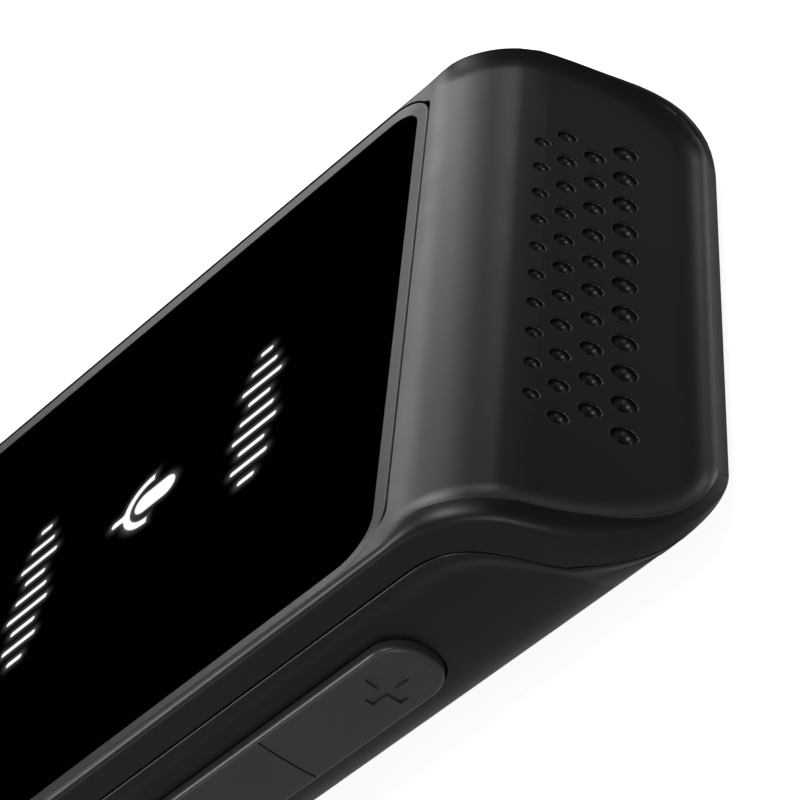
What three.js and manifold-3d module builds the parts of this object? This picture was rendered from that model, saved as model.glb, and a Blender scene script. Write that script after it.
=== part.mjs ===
// Handheld translator: a slab with a full-length touch screen and a sloped, dished speaker head.
// Sizes are millimetres. X points to the volume rocker's side, Y to the speaker head and Z out of
// the screen.
// The origin is under the middle of the body, on the flat of its back.
import * as THREE from "three";
import { mergeVertices } from "three/addons/utils/BufferGeometryUtils.js";
import Module from "manifold-3d";

const wasm = await Module();
wasm.setup();

// Body outline
const bodyWidth = 57;
const bodyLength = 142;
const planCornerRadius = 8.2;
const lipSetback = 1.4;
const headWallInset = 0.8;

// How the corners of each end grow from the back upwards, and the round under its wall
const lowCorner = { backRadius: 3, topRadius: planCornerRadius, growHeight: 7, filletRadius: 4.7 };
const headCorner = { backRadius: 0.95, topRadius: 6.85, growHeight: 6.5, filletRadius: 2.6 };

// Hull section, from the flat of the back round to the side wall
const hullRadius = 23.4;
const sideFilletRadius = 4.7;
const filletLowAngle = THREE.MathUtils.degToRad(59.3);
const filletHighAngle = THREE.MathUtils.degToRad(17);
const sideBulgeRadius = 25.1;
const stepDepth = 0.36;
const stepHeight = 1.5;
const stepBand = 0.5;
const stepFadeHeight = 6;

// Walls and general clearances
const shellWall = 1.6;
const trayWall = 1.3;
const seamGap = 0.2;
const fitGap = 0.3;
const looseGap = 0.15;
const glueGap = 0.04;
const overrun = 100;

// Screen
const glassHeight = 16.7;
const glassSideBorder = 1.9;
const glassEndBorder = 7.23;
const glassThickness = 0.8;
const glassCornerRadius = 3;
const glassEdgeGap = 0.05;
const headReach = 17;
const rimWidth = 1.15;
const rimRise = 0.15;
const rimDepth = 1.4;
const rimLedge = 1;
const displayEdge = 1.3;
const displayCornerRadius = 1.5;
const flangeWidth = 2.5;
const skirtRise = 0.2;
const skirtEdgeRadius = 0.55;
const seamDepth = 2.1;

// Speaker head: a rising strip, a round shoulder and a straight slope that ends in a thin lip
const shoulderRadius = 8.54;
const shoulderStartAngle = THREE.MathUtils.degToRad(4);
const slopeAngle = THREE.MathUtils.degToRad(62);
const crestInset = 1.1;
const crestCornerWidth = 8.9;
const crestCornerDepth = 6.2;
const crestAngle = THREE.MathUtils.degToRad(55);
const crestDrop = 1.05;
const lipDrop = 0.8;
const lipDropShare = 0.67;
const curlWidth = 2.24;
const curlHeight = 0.5;
const headBlend = 3.5;
const barEdge = 0.2;
const barWidth = 4;
const noseSolid = 3.8;

// Sound holes in four staggered rows that grow towards the lip
const holePitchShare = 0.09;
const holeSides = 10;
const firstRowRise = 0.35;
const soundRows = [
  { count: 10, step: 0, radius: 0.57 },
  { count: 11, step: 1.81, radius: 0.7 },
  { count: 10, step: 2.11, radius: 0.77 },
  { count: 11, step: 2.29, radius: 0.9 },
];

// Speaker behind the slope
const speakerSideBorder = 9.5;
const speakerHeight = 10.4;
const speakerCentre = 2.6;
const speakerDepth = 3;
const speakerCornerRadius = 2;
const dishBorder = 1.8;
const dishDepth = 0.6;
const gasketBorder = 1.1;
const gasketDepth = 1;
const meshDepth = 0.3;

// Chassis behind the display
const frameThickness = 1.2;
const frameHeadReach = 59.5;
const frameHeadRadius = 1.5;
const bracketThickness = 1;
const bracketDepth = 7.6;
const pillarRadius = 1.4;
const pillarFromSide = 1.8;
const pillarInset = 1.6;

// Battery
const batterySideBorder = 7.5;
const batteryBoardGap = 1.43;
const batteryThickness = 8.2;
const batteryFromLowEnd = 13;
const batteryCornerRadius = 1.5;
const padThickness = 0.4;
const padMargin = 4;

// Main board
const boardThickness = 0.8;
const boardHeight = 7.2;
const boardSideBorder = 7.8;
const boardLength = 38;
const boardHeadGap = 3.8;
const boardCornerRadius = 1;
const canHeight = 2;
const canWall = 0.3;
const canGap = 4.5;
const canEndBorder = 8;
const processorWidthShare = 0.6;
const processorLengthShare = 0.7;
const radioLengthShare = 0.8;
const canSideBorder = 2.2;
const canLowBorder = 7;

// Screws
const screwRadius = 0.7;
const screwHeadRadius = 1.1;
const screwHeadHeight = 1;
const screwSocketRadius = 0.6;
const screwSocketDepth = 0.6;
const screwSides = 12;
const socketSides = 6;
const screwClearance = 0.15;
const threadGap = 0.05;
const frameScrewReach = 1.6;
const headScrewFromSide = 5.2;
const headScrewFromBar = 2;
const chinScrewFromSide = 7.5;
const chinScrewFromEnd = 1.5;
const standoffRadius = 1.6;
const boardScrewReach = 3.6;
const boardScrewInset = 2.6;

// Keys
const keyHeight = 5.6;
const keyCentreHeight = 8.9;
const keyCornerRadius = 2.4;
const keyProud = 0.5;
const keyEdge = 0.4;
const keyGap = 0.22;
const keyFlangeEndBorder = 0.9;
const keyFlangeSideBorder = 0.5;
const keyFlangeThickness = 0.6;
const keyPocketFromSide = 2.6;
const keyFlangeGap = 0.4;
const keyStemLength = 0.6;
const keyStemWidth = 1.6;
const rockerLength = 25.2;
const rockerFromGlass = 15.1;
const rockerStemSpread = 18;
const powerLength = 11;
const powerFromGlass = 11;
const talkLength = 22;
const talkFromGlass = 34;
const switchSize = 3;
const switchDepth = 0.9;
const plungerWidth = 1.8;
const plungerLength = 0.3;
const switchBoardThickness = 0.7;
const switchBoardHeight = 5;
const switchBoardBorder = 1.5;
const symbolSize = 3.7;
const symbolStroke = 0.85;
const symbolDepth = 0.25;
const symbolFromEnd = 3.65;
const keySplitWidth = 0.3;
const keySplitMargin = 0.9;

// Camera and lamp in the back
const cameraFromGlass = 12;
const windowRadius = 5;
const windowThickness = 0.8;
const windowSink = 0.15;
const windowGap = 0.1;
const windowSides = 32;
const cameraHoleRadius = 3.6;
const barrelRadius = 3.2;
const barrelSides = 24;
const cameraSize = 8.5;
const cameraThickness = 3.2;
const backDetailOffset = 9;
const lampRadius = 1.5;
const lampBase = 3.4;
const lampBaseHeight = 3;

// Charging port and its board
const portWidth = 8.94;
const portHeight = 3.26;
const portDepth = 7.35;
const portWall = 0.3;
const portSink = 0.4;
const portCentreHeight = 8.2;
const portTongueWidth = 6.7;
const portTongueThickness = 0.7;
const portTongueGap = 1.2;
const portBackWall = 1;
const portBoardWidth = 30;
const portBoardLength = 9;
const portBoardGap = 0.6;
const postRadius = 2;
const postFromSide = 4;

// Microphones
const micWidth = 3.5;
const micLength = 2.7;
const micThickness = 1;
const micHoleRadius = 0.6;
const lowerMicFromSide = 5.5;

// Ribbons and antenna
const ribbonThickness = 0.3;
const ribbonWidth = 9;
const ribbonFoot = 2.4;
const ribbonBend = 0.5;
const displayRibbonFromSide = 10.7;
const portRibbonFromSide = 5;
const antennaScrewGap = 6;
const antennaLength = 3.2;
const antennaThickness = 0.8;
const antennaFromEnd = 2.8;

// Centres of the hull's circles from the side wall down, each tangent to the next
const halfWidth = bodyWidth / 2;
const bulgeCentreX = halfWidth - stepDepth - sideBulgeRadius;
const filletCentreX = bulgeCentreX + (sideBulgeRadius - sideFilletRadius) * Math.cos(filletHighAngle);
const filletCentreZ = hullRadius - (hullRadius - sideFilletRadius) * Math.sin(filletLowAngle);
const bulgeCentreZ = filletCentreZ + (sideBulgeRadius - sideFilletRadius) * Math.sin(filletHighAngle);
const backFlatHalfWidth = filletCentreX - (hullRadius - sideFilletRadius) * Math.cos(filletLowAngle);

// Places that follow from the sizes above
const halfLength = bodyLength / 2;
const headWallY = halfLength + lipSetback;
const glassTopEdge = headWallY - headReach;
const glassLowEdge = glassEndBorder - halfLength;
const glassHalfWidth = halfWidth - glassSideBorder;
const glassBottom = glassHeight - glassThickness;
const rimBottom = glassHeight - rimDepth;
const edgeHeight = glassHeight + skirtRise;
const seamHeight = glassHeight - seamDepth;
const creaseY = glassTopEdge + rimWidth + looseGap;
const shoulderY = creaseY + shoulderRadius * Math.sin(shoulderStartAngle);
const shoulderZ = edgeHeight - shoulderRadius * Math.cos(shoulderStartAngle);
const slopeStartY = shoulderY + shoulderRadius * Math.sin(slopeAngle);
const slopeStartZ = shoulderZ + shoulderRadius * Math.cos(slopeAngle);
const barStart = creaseY + barEdge;
const barEnd = barStart + barWidth;
const frameTop = seamHeight;
const frameBottom = frameTop - frameThickness;
const frameHeadEnd = barEnd - fitGap;
const frameLowEnd = -halfLength + stepDepth + shellWall + fitGap;
const batteryTop = frameBottom - padThickness;
const batteryBottom = batteryTop - batteryThickness;
const batteryWidth = bodyWidth - batterySideBorder * 2;
const batteryStart = -halfLength + batteryFromLowEnd;
const boardTop = boardHeight + boardThickness;
const boardWidth = bodyWidth - boardSideBorder * 2;
const boardEnd = glassTopEdge - boardHeadGap;
const boardStart = boardEnd - boardLength;
const batteryEnd = boardStart - batteryBoardGap;
const speakerWidth = bodyWidth - speakerSideBorder * 2;
const holePitch = speakerWidth * holePitchShare;
const headScrewX = halfWidth - headScrewFromSide;
const chinScrewX = halfWidth - chinScrewFromSide;
const antennaWidth = (chinScrewX - antennaScrewGap) * 2;
const displayRibbonX = boardWidth / 2 - displayRibbonFromSide;
const portRibbonX = portBoardWidth / 2 - portRibbonFromSide;
const pillarX = portBoardWidth / 2 - pillarFromSide;
const postX = portBoardWidth / 2 - postFromSide;
const lowerMicX = portBoardWidth / 2 - lowerMicFromSide;
const keyPocketX = halfWidth - keyPocketFromSide;
const flangeOuterX = keyPocketX - keyFlangeGap;
const flangeInnerX = flangeOuterX - keyFlangeThickness;
const stemEndX = flangeInnerX - keyStemLength;
const switchOuterX = stemEndX - fitGap;
const switchInnerX = switchOuterX - switchDepth;
const switchBoardX = switchInnerX - switchBoardThickness;
const bracketInnerX = switchBoardX - bracketThickness;
const rockerY = glassTopEdge - rockerFromGlass;
const powerY = glassTopEdge - powerFromGlass;
const talkY = glassTopEdge - talkFromGlass;
const cameraY = glassTopEdge - cameraFromGlass;
const lowWallY = -halfLength + stepDepth;
const portMouthY = lowWallY + portSink;
const portBoardTop = portCentreHeight - portHeight / 2;
const portBoardBottom = portBoardTop - boardThickness;
const portBoardLow = lowWallY + shellWall + portBoardGap;
const portBoardHigh = portBoardLow + portBoardLength;

// Seam line: places along Y as shares of the head's reach, heights as shares of the seam's height
const seamShares = [
  [0.04, 1],
  [0.2, 0.978],
  [0.31, 0.9],
  [0.4, 0.76],
  [0.475, 0.585],
  [0.56, 0.44],
  [0.66, 0.29],
  [0.78, 0.165],
  [0.9, 0.075],
  [1, 0.045],
];

// Outline points along the side wall ahead of the seam's own points, as shares of the head's reach
const sideStartShares = [0.04, 0.08, 0.14];
const cornerSteps = 5;
const arcSegments = 3;
const flatRows = 3;
const filletRows = 4;
const bulgeRows = 3;
const middleShare = 0.5;
const wallShares = [0, middleShare, 1];
const roundShares = [1 / 3, 2 / 3];
const edgeShares = [0, 1 / 3, 2 / 3, 1];

// Materials
const finish = (color, roughness, metalness) =>
  new THREE.MeshStandardMaterial({ color, roughness, metalness });
const shellPlastic = finish(0x1b1b1c, 0.55, 0);
const rimPlastic = finish(0x2a2a2b, 0.45, 0);
const keyPlastic = finish(0x313132, 0.5, 0);
const screenGlass = finish(0x020202, 0.05, 0);
const framePlastic = finish(0x4a4c4f, 0.6, 0);
const circuitGreen = finish(0x12382a, 0.5, 0);
const steel = finish(0xb9bbbd, 0.35, 1);
const screwSteel = finish(0x8f9194, 0.35, 1);
const displayBack = finish(0xc9cbcc, 0.4, 0.6);
const batteryWrap = finish(0x303338, 0.6, 0);
const foam = finish(0x111111, 0.95, 0);
const blackPlastic = finish(0x161616, 0.6, 0);
const ribbonAmber = finish(0x8a5a1e, 0.5, 0);
const lampLens = finish(0xe8e2c8, 0.2, 0);

// Solids
function solid(geometry) {
  const bare = geometry.clone();
  bare.deleteAttribute("normal");
  bare.deleteAttribute("uv");
  const merged = mergeVertices(bare);
  return new wasm.Manifold(
    new wasm.Mesh({
      numProp: 3,
      vertProperties: new Float32Array(merged.attributes.position.array),
      triVerts: new Uint32Array(merged.index.array),
    }),
  );
}

const group = new THREE.Group();
group.name = "handheld_translator";

function place(name, made, material) {
  const raw = made.getMesh();
  const geometry = new THREE.BufferGeometry();
  geometry.setAttribute("position", new THREE.BufferAttribute(raw.vertProperties, 3));
  geometry.setIndex(new THREE.BufferAttribute(raw.triVerts, 1));
  geometry.computeVertexNormals();
  const mesh = new THREE.Mesh(geometry, material);
  mesh.name = name;
  group.add(mesh);
}

const around = (centre, size) => [centre - size / 2, centre + size / 2];
const grown = (range, border) => [range[0] - border, range[1] + border];

function block(x, y, z) {
  const geometry = new THREE.BoxGeometry(x[1] - x[0], y[1] - y[0], z[1] - z[0]);
  geometry.translate((x[0] + x[1]) / 2, (y[0] + y[1]) / 2, (z[0] + z[1]) / 2);
  return solid(geometry);
}

// A block beside the keys: side 1 is the volume side, side -1 the other
const sideBlock = (side, x, y, z) => block(side > 0 ? x : [-x[1], -x[0]], y, z);

function rod(radius, x, y, z, sides = screwSides) {
  const geometry = new THREE.CylinderGeometry(radius, radius, z[1] - z[0], sides);
  geometry.rotateX(Math.PI / 2);
  geometry.translate(x, y, (z[0] + z[1]) / 2);
  return solid(geometry);
}

function roundedShape(x, y, radius) {
  const quarter = Math.PI / 2;
  const shape = new THREE.Shape();
  shape.absarc(x[1] - radius, y[1] - radius, radius, 0, quarter, false);
  shape.absarc(x[0] + radius, y[1] - radius, radius, quarter, Math.PI, false);
  shape.absarc(x[0] + radius, y[0] + radius, radius, Math.PI, Math.PI + quarter, false);
  shape.absarc(x[1] - radius, y[0] + radius, radius, Math.PI + quarter, Math.PI * 2, false);
  return shape;
}

const circle = (x, y, radius) => new THREE.Shape().absarc(x, y, radius, 0, Math.PI * 2, false);

function extrude(shape, z, basis = new THREE.Matrix4(), curveSegments = arcSegments) {
  const settings = { depth: z[1] - z[0], bevelEnabled: false, curveSegments };
  const geometry = new THREE.ExtrudeGeometry(shape, settings);
  geometry.translate(0, 0, z[0]);
  return solid(geometry.applyMatrix4(basis));
}

const plate = (x, y, z, radius) => extrude(roundedShape(x, y, radius), z);

// Drawn in Y and Z, extruded along X
const alongX = new THREE.Matrix4().makeBasis(
  new THREE.Vector3(0, 1, 0),
  new THREE.Vector3(0, 0, 1),
  new THREE.Vector3(1, 0, 0),
);

// Drawn in X and Z, extruded towards the lower end
const towardsLowEnd = new THREE.Matrix4().makeBasis(
  new THREE.Vector3(1, 0, 0),
  new THREE.Vector3(0, 0, 1),
  new THREE.Vector3(0, -1, 0),
);

// Drawn across and down the head's slope, extruded outwards from its surface
const onSlope = new THREE.Matrix4()
  .makeBasis(
    new THREE.Vector3(1, 0, 0),
    new THREE.Vector3(0, Math.cos(slopeAngle), -Math.sin(slopeAngle)),
    new THREE.Vector3(0, Math.sin(slopeAngle), Math.cos(slopeAngle)),
  )
  .setPosition(0, slopeStartY, slopeStartZ);

function profileShape(points) {
  return new THREE.Shape(points.map(([y, z]) => new THREE.Vector2(y, z)));
}

// A skin over rings of points. Ring point i lies across from point n - 1 - i,
// and both end rings are closed by straight strips between those pairs.
function loft(rings) {
  const count = rings[0].length;
  const positions = rings.flat(2);
  const faces = [];
  const quad = (a, b, c, d) => faces.push(a, b, c, a, c, d);
  for (let level = 0; level < rings.length - 1; level += 1) {
    const low = level * count;
    const high = low + count;
    for (let i = 0; i < count; i += 1) {
      const next = (i + 1) % count;
      quad(low + i, high + i, high + next, low + next);
    }
  }
  const top = (rings.length - 1) * count;
  for (let i = 0; i < count / 2 - 1; i += 1) {
    const across = count - 1 - i;
    quad(across, i, i + 1, across - 1);
    quad(top + across, top + across - 1, top + i + 1, top + i);
  }
  const geometry = new THREE.BufferGeometry();
  geometry.setAttribute("position", new THREE.Float32BufferAttribute(positions, 3));
  geometry.setIndex(faces);
  return geometry;
}

// Body form
const clamp = (value) => Math.min(1, Math.max(0, value));
const smooth = (share) => clamp(share) ** 2 * (3 - 2 * clamp(share));
const mix = (from, to, share) => from + (to - from) * share;

// Height of a point on one of the hull's circles, drawn in by a wall
const arcHeight = (centreZ, radius, angle, inset) => centreZ - (radius - inset) * Math.sin(angle);

function hullHalfWidth(z, inset) {
  const onCircle = (centreX, centreZ, radius) => {
    const fall = Math.max(0, centreZ - z);
    return centreX + Math.sqrt(Math.max(0, (radius - inset) ** 2 - fall ** 2));
  };
  if (z > arcHeight(filletCentreZ, sideFilletRadius, filletHighAngle, inset)) {
    return onCircle(bulgeCentreX, bulgeCentreZ, sideBulgeRadius);
  }
  if (z > arcHeight(filletCentreZ, sideFilletRadius, filletLowAngle, inset)) {
    return onCircle(filletCentreX, filletCentreZ, sideFilletRadius);
  }
  return onCircle(backFlatHalfWidth, hullRadius, hullRadius);
}

// How far the rounded lower edge of an end holds the wall back at a height
function endSetback(z, inset, filletRadius) {
  const radius = filletRadius - inset;
  const fall = Math.min(radius, Math.max(0, filletRadius - z));
  return inset + radius - Math.sqrt(radius ** 2 - fall ** 2);
}

// An end at a height: where its wall is, and how wide and deep its corners are
function hullCorner(upperWall, { backRadius, topRadius, growHeight, filletRadius }, z, inset) {
  const radius = mix(backRadius, topRadius, clamp(z / growHeight)) - inset;
  const size = Math.max(radius, backRadius / 2);
  return { wall: upperWall - endSetback(z, inset, filletRadius), width: size, depth: size };
}

// The outline at a height: step is how much of the wall's small step is on
function outlineAt(z, step, inset) {
  const out = stepDepth * step * clamp(z / stepFadeHeight);
  const headWall = headWallY - headWallInset - stepDepth + out;
  const lowWall = halfLength - stepDepth + out;
  return {
    side: hullHalfWidth(z, inset) + out,
    head: hullCorner(headWall, headCorner, z, inset),
    low: hullCorner(lowWall, lowCorner, z, inset),
  };
}

const sideShares = [...sideStartShares, ...seamShares.slice(1, 5).map(([share]) => share)];
const sidePlaces = [...sideShares.reverse().map((share) => glassTopEdge + headReach * share), 0];

// Places round the right half of the outline, from the head to the lower end
const stations = [
  ...Array.from({ length: cornerSteps + 1 }, (_, i) => ({ turn: 1 - i / cornerSteps })),
  ...sidePlaces.map((y) => ({ turn: 0, y })),
  ...Array.from({ length: cornerSteps + 1 }, (_, i) => ({ turn: -i / cornerSteps })),
].map((station, index) => ({ ...station, atHead: index <= cornerSteps }));

function onOutline({ turn, y, atHead }, { side, head, low }) {
  if (y !== undefined) return [side, y];
  const angle = (Math.abs(turn) * Math.PI) / 2;
  const { wall, width, depth } = atHead ? head : low;
  const x = side - width * (1 - Math.cos(angle));
  const fromMiddle = wall - depth * (1 - Math.sin(angle));
  return [x, atHead ? fromMiddle : -fromMiddle];
}

const ringOf = (pointAt) => {
  const right = stations.map(pointAt);
  return [...right, ...right.map(([x, y, z]) => [-x, y, z]).reverse()];
};

function heightFrom(table, y) {
  const share = (y - glassTopEdge) / headReach;
  const next = table.findIndex(([place]) => place > share);
  if (next === 0) return table[0][1];
  if (next < 0) return table[table.length - 1][1];
  const [[startShare, start], [endShare, end]] = [table[next - 1], table[next]];
  return mix(start, end, (share - startShare) / (endShare - startShare));
}

const fullOutline = outlineAt(seamHeight, 1, 0);
const nominalY = (station) => onOutline(station, fullOutline)[1];
const seamAt = (station) => seamHeight * heightFrom(seamShares, nominalY(station));

// Fixed heights of the hull's rows: the flat, then along each circle up to the step
const rowAngles = (low, high, steps) =>
  Array.from({ length: steps }, (_, i) => mix(low, high, i / steps));
const hullRows = (inset) => [
  ...rowAngles(Math.PI / 2, filletLowAngle, flatRows).map((a) =>
    arcHeight(hullRadius, hullRadius, a, inset),
  ),
  ...rowAngles(filletLowAngle, filletHighAngle, filletRows).map((a) =>
    arcHeight(filletCentreZ, sideFilletRadius, a, inset),
  ),
  ...rowAngles(filletHighAngle, 0, bulgeRows).map((a) =>
    arcHeight(bulgeCentreZ, sideBulgeRadius, a, inset),
  ),
];

function hullBlock() {
  const rows = hullRows(0);
  const topRow = rows[rows.length - 1];
  const steps = [{ step: middleShare }, { step: 1 }, { top: 1 }];
  const levels = [...rows.map((z) => ({ share: z / topRow })), ...steps];
  return loft(
    levels.map(({ share, step, top }) =>
      ringOf((station) => {
        const seam = seamAt(station) - seamGap;
        const small = clamp(seam / stepFadeHeight);
        const stepTop = seam - stepBand * small;
        const stepLow = stepTop - stepHeight * small;
        const z = top ? seam : share === undefined ? mix(stepLow, stepTop, step) : stepLow * share;
        const turned = share === undefined ? (step ?? 1) : 0;
        return [...onOutline(station, outlineAt(z, turned, 0)), z];
      }),
    ),
  );
}

function hullInside(inset) {
  const levels = [...hullRows(inset), bulgeCentreZ, edgeHeight];
  return loft(
    levels.map((z) => ringOf((station) => [...onOutline(station, outlineAt(z, 0, inset)), z])),
  );
}

// The head's surface without its raised edge
function trayAt(y) {
  if (y <= creaseY) return { z: edgeHeight, lean: 0 };
  if (y >= slopeStartY) {
    return { z: slopeStartZ - (y - slopeStartY) * Math.tan(slopeAngle), lean: slopeAngle };
  }
  const lean = Math.asin((y - shoulderY) / shoulderRadius);
  return { z: shoulderZ + shoulderRadius * Math.cos(lean), lean };
}

const headShare = (y) => smooth((y - creaseY) / headBlend);

// A point on the raised edge: in from the crest by a share of its width
function edgePoint(station, share) {
  const inset = mix(skirtEdgeRadius, crestInset, headShare(nominalY(station)));
  const lowRadius = planCornerRadius - inset;
  const outline = {
    side: halfWidth - inset,
    head: { wall: headWallY - lipSetback, width: crestCornerWidth, depth: crestCornerDepth },
    low: { wall: halfLength - inset, width: lowRadius, depth: lowRadius },
  };
  const [crestX, crestY] = onOutline(station, outline);
  const angle = (station.turn * Math.PI) / 2;
  const lean = trayAt(crestY).lean;
  const inward = new THREE.Vector2(Math.cos(angle) / Math.cos(lean), Math.sin(angle)).normalize();
  const x = crestX - inward.x * curlWidth * share;
  const y = crestY - inward.y * Math.cos(lean) * curlWidth * share;
  const rise = (curlHeight * headShare(y) * (1 - share) ** 2) / Math.cos(trayAt(y).lean);
  return [x, y, trayAt(y).z + rise];
}

// The wall under the raised edge, where its round starts
function edgeBase(station) {
  const [, crestY, crestZ] = edgePoint(station, 0);
  const onHead = headShare(nominalY(station));
  const steep = crestDrop / Math.cos(trayAt(crestY).lean);
  const headDrop = mix(steep, lipDrop, smooth(station.turn * lipDropShare));
  return crestZ - mix(skirtEdgeRadius, headDrop, onHead);
}

function frontBlock() {
  const wall = (share) => (station) => {
    const base = edgeBase(station);
    const z = mix(Math.min(seamAt(station), base), base, share);
    return [...onOutline(station, outlineAt(z, 1, 0)), z];
  };
  const round = (share) => (station) => {
    const [x0, y0, z0] = wall(1)(station);
    const [x1, y1, z1] = edgePoint(station, 0);
    const top = crestAngle * headShare(nominalY(station));
    const angle = mix(Math.PI / 2, top, share);
    const along = (1 - Math.sin(angle)) / (1 - Math.sin(top));
    return [mix(x0, x1, along), mix(y0, y1, along), mix(z0, z1, Math.cos(angle) / Math.cos(top))];
  };
  const edge = (share) => (station) => edgePoint(station, share);
  const rings = [
    ...wallShares.map(wall),
    ...roundShares.map(round),
    ...edgeShares.map(edge),
  ];
  return loft(rings.map(ringOf));
}

// The room under the head's surface, down to the open bottom
function headRoom() {
  const steps = Array.from({ length: cornerSteps + 1 }, (_, i) => i / cornerSteps);
  const noseY = headWallY - noseSolid;
  const under = (y) => {
    const { z, lean } = trayAt(y);
    return [y, z - trayWall / Math.cos(lean)];
  };
  const shoulder = steps.map((share) => under(mix(barEnd, slopeStartY, share)));
  const points = [
    [glassTopEdge, -overrun],
    [glassTopEdge, frameTop],
    [barEnd, frameTop],
    ...shoulder,
    under(noseY),
    [noseY, -overrun],
  ];
  return extrude(profileShape(points), [-halfWidth, halfWidth], alongX);
}

function soundHoles() {
  let distance = -firstRowRise;
  let holes;
  for (const { count, step, radius } of soundRows) {
    distance += step;
    for (let i = 0; i < count; i += 1) {
      const outline = circle((i - (count - 1) / 2) * holePitch, distance, radius);
      const hole = extrude(outline, grown([-trayWall, 0], fitGap), onSlope, holeSides / 2);
      holes = holes ? holes.add(hole) : hole;
    }
  }
  return holes;
}

// Screen opening, the ledge's opening under it and the room under the head
function frontShell() {
  const sideX = glassHalfWidth + rimWidth + looseGap;
  const openingY = [glassLowEdge - rimWidth - looseGap, creaseY];
  const opening = plate([-sideX, sideX], openingY, [rimBottom, overrun], glassCornerRadius + rimWidth);
  const flangeX = halfWidth - flangeWidth;
  const flangeY = [glassLowEdge + displayEdge - fitGap, barStart];
  const flangeZ = [frameTop - overrun, overrun];
  const through = plate([-flangeX, flangeX], flangeY, flangeZ, displayCornerRadius);
  const seatWidth = speakerWidth + fitGap * 2;
  const seatHeight = speakerHeight + fitGap * 2;
  const seatRadius = speakerCornerRadius + fitGap;
  const shell = solid(frontBlock())
    .subtract(opening)
    .subtract(through)
    .subtract(headRoom().intersect(solid(hullInside(shellWall))))
    .subtract(slopePlate(seatWidth, seatHeight, [speakerRange[0] - fitGap, -trayWall], seatRadius))
    .subtract(soundHoles());
  const pilots = frameScrewPlaces().map(([x, y]) =>
    rod(screwRadius + threadGap, x, y, [frameTop - fitGap, frameTop + frameScrewReach + looseGap]),
  );
  return pilots.reduce((made, pilot) => made.subtract(pilot), shell);
}

function frameScrewPlaces() {
  const headY = barStart + headScrewFromBar;
  const chinY = frameLowEnd + chinScrewFromEnd;
  return [
    [-headScrewX, headY],
    [headScrewX, headY],
    [-chinScrewX, chinY],
    [0, chinY],
    [chinScrewX, chinY],
  ];
}

function boardScrewPlaces() {
  const sideX = boardWidth / 2 - boardScrewInset;
  return [
    [-sideX, boardEnd - boardScrewInset],
    [sideX, boardEnd - boardScrewInset],
    [0, boardStart + boardScrewInset],
  ];
}

// A screw that points up, its head under the face at z
function screw(x, y, z, reach) {
  const bottom = z - screwHeadHeight;
  const socket = [bottom - overrun, bottom + screwSocketDepth];
  return rod(screwHeadRadius, x, y, [bottom, z])
    .add(rod(screwRadius, x, y, [z - screwSocketDepth / 2, z + reach]))
    .subtract(rod(screwSocketRadius, x, y, socket, socketSides));
}

// Screen stack
function screenRim() {
  const outer = glassHalfWidth + rimWidth;
  const outerY = [glassLowEdge - rimWidth, glassTopEdge + rimWidth];
  const pocket = glassHalfWidth + glassEdgeGap;
  const ledge = glassHalfWidth - rimLedge;
  const glassY = [glassLowEdge, glassTopEdge];
  const top = glassHeight + rimRise;
  return plate([-outer, outer], outerY, [rimBottom, top], glassCornerRadius + rimWidth)
    .subtract(
      plate([-pocket, pocket], grown(glassY, glassEdgeGap), [glassBottom, overrun], glassCornerRadius),
    )
    .subtract(
      plate([-ledge, ledge], grown(glassY, -rimLedge), [-overrun, overrun], displayCornerRadius),
    );
}

function coverGlass() {
  const x = [-glassHalfWidth, glassHalfWidth];
  return plate(x, [glassLowEdge, glassTopEdge], [glassBottom, glassHeight], glassCornerRadius);
}

function displayPanel() {
  const half = glassHalfWidth - displayEdge;
  const range = [glassLowEdge + displayEdge, glassTopEdge - displayEdge];
  return plate([-half, half], range, [frameTop, glassBottom], displayCornerRadius);
}

// A ribbon: a strip of even thickness along points in Y and Z
function ribbon(x, path) {
  const last = path.length - 1;
  const offset = ([y, z], index) => {
    const before = path[Math.max(0, index - 1)];
    const after = path[Math.min(last, index + 1)];
    const alongBefore = new THREE.Vector2(y - before[0], z - before[1]).normalize();
    const alongAfter = new THREE.Vector2(after[0] - y, after[1] - z).normalize();
    const one = index === 0 ? alongAfter : alongBefore;
    const two = index === last ? alongBefore : alongAfter;
    const side = new THREE.Vector2(-one.y - two.y, one.x + two.x).normalize();
    const spread = ribbonThickness / (-one.y * side.x + one.x * side.y);
    return [y + side.x * spread, z + side.y * spread];
  };
  const outline = [...path, ...path.map(offset).reverse()];
  return extrude(profileShape(outline), around(x, ribbonWidth), alongX);
}

function displayFlex() {
  const startY = glassTopEdge - displayEdge;
  const startZ = frameTop + looseGap + ribbonThickness;
  const bendY = glassTopEdge + looseGap;
  return ribbon(displayRibbonX, [
    [boardEnd - ribbonFoot, boardTop],
    [bendY - ribbonBend, boardTop],
    [bendY, boardTop + ribbonBend],
    [bendY, startZ],
    [startY, startZ],
  ]);
}

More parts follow.
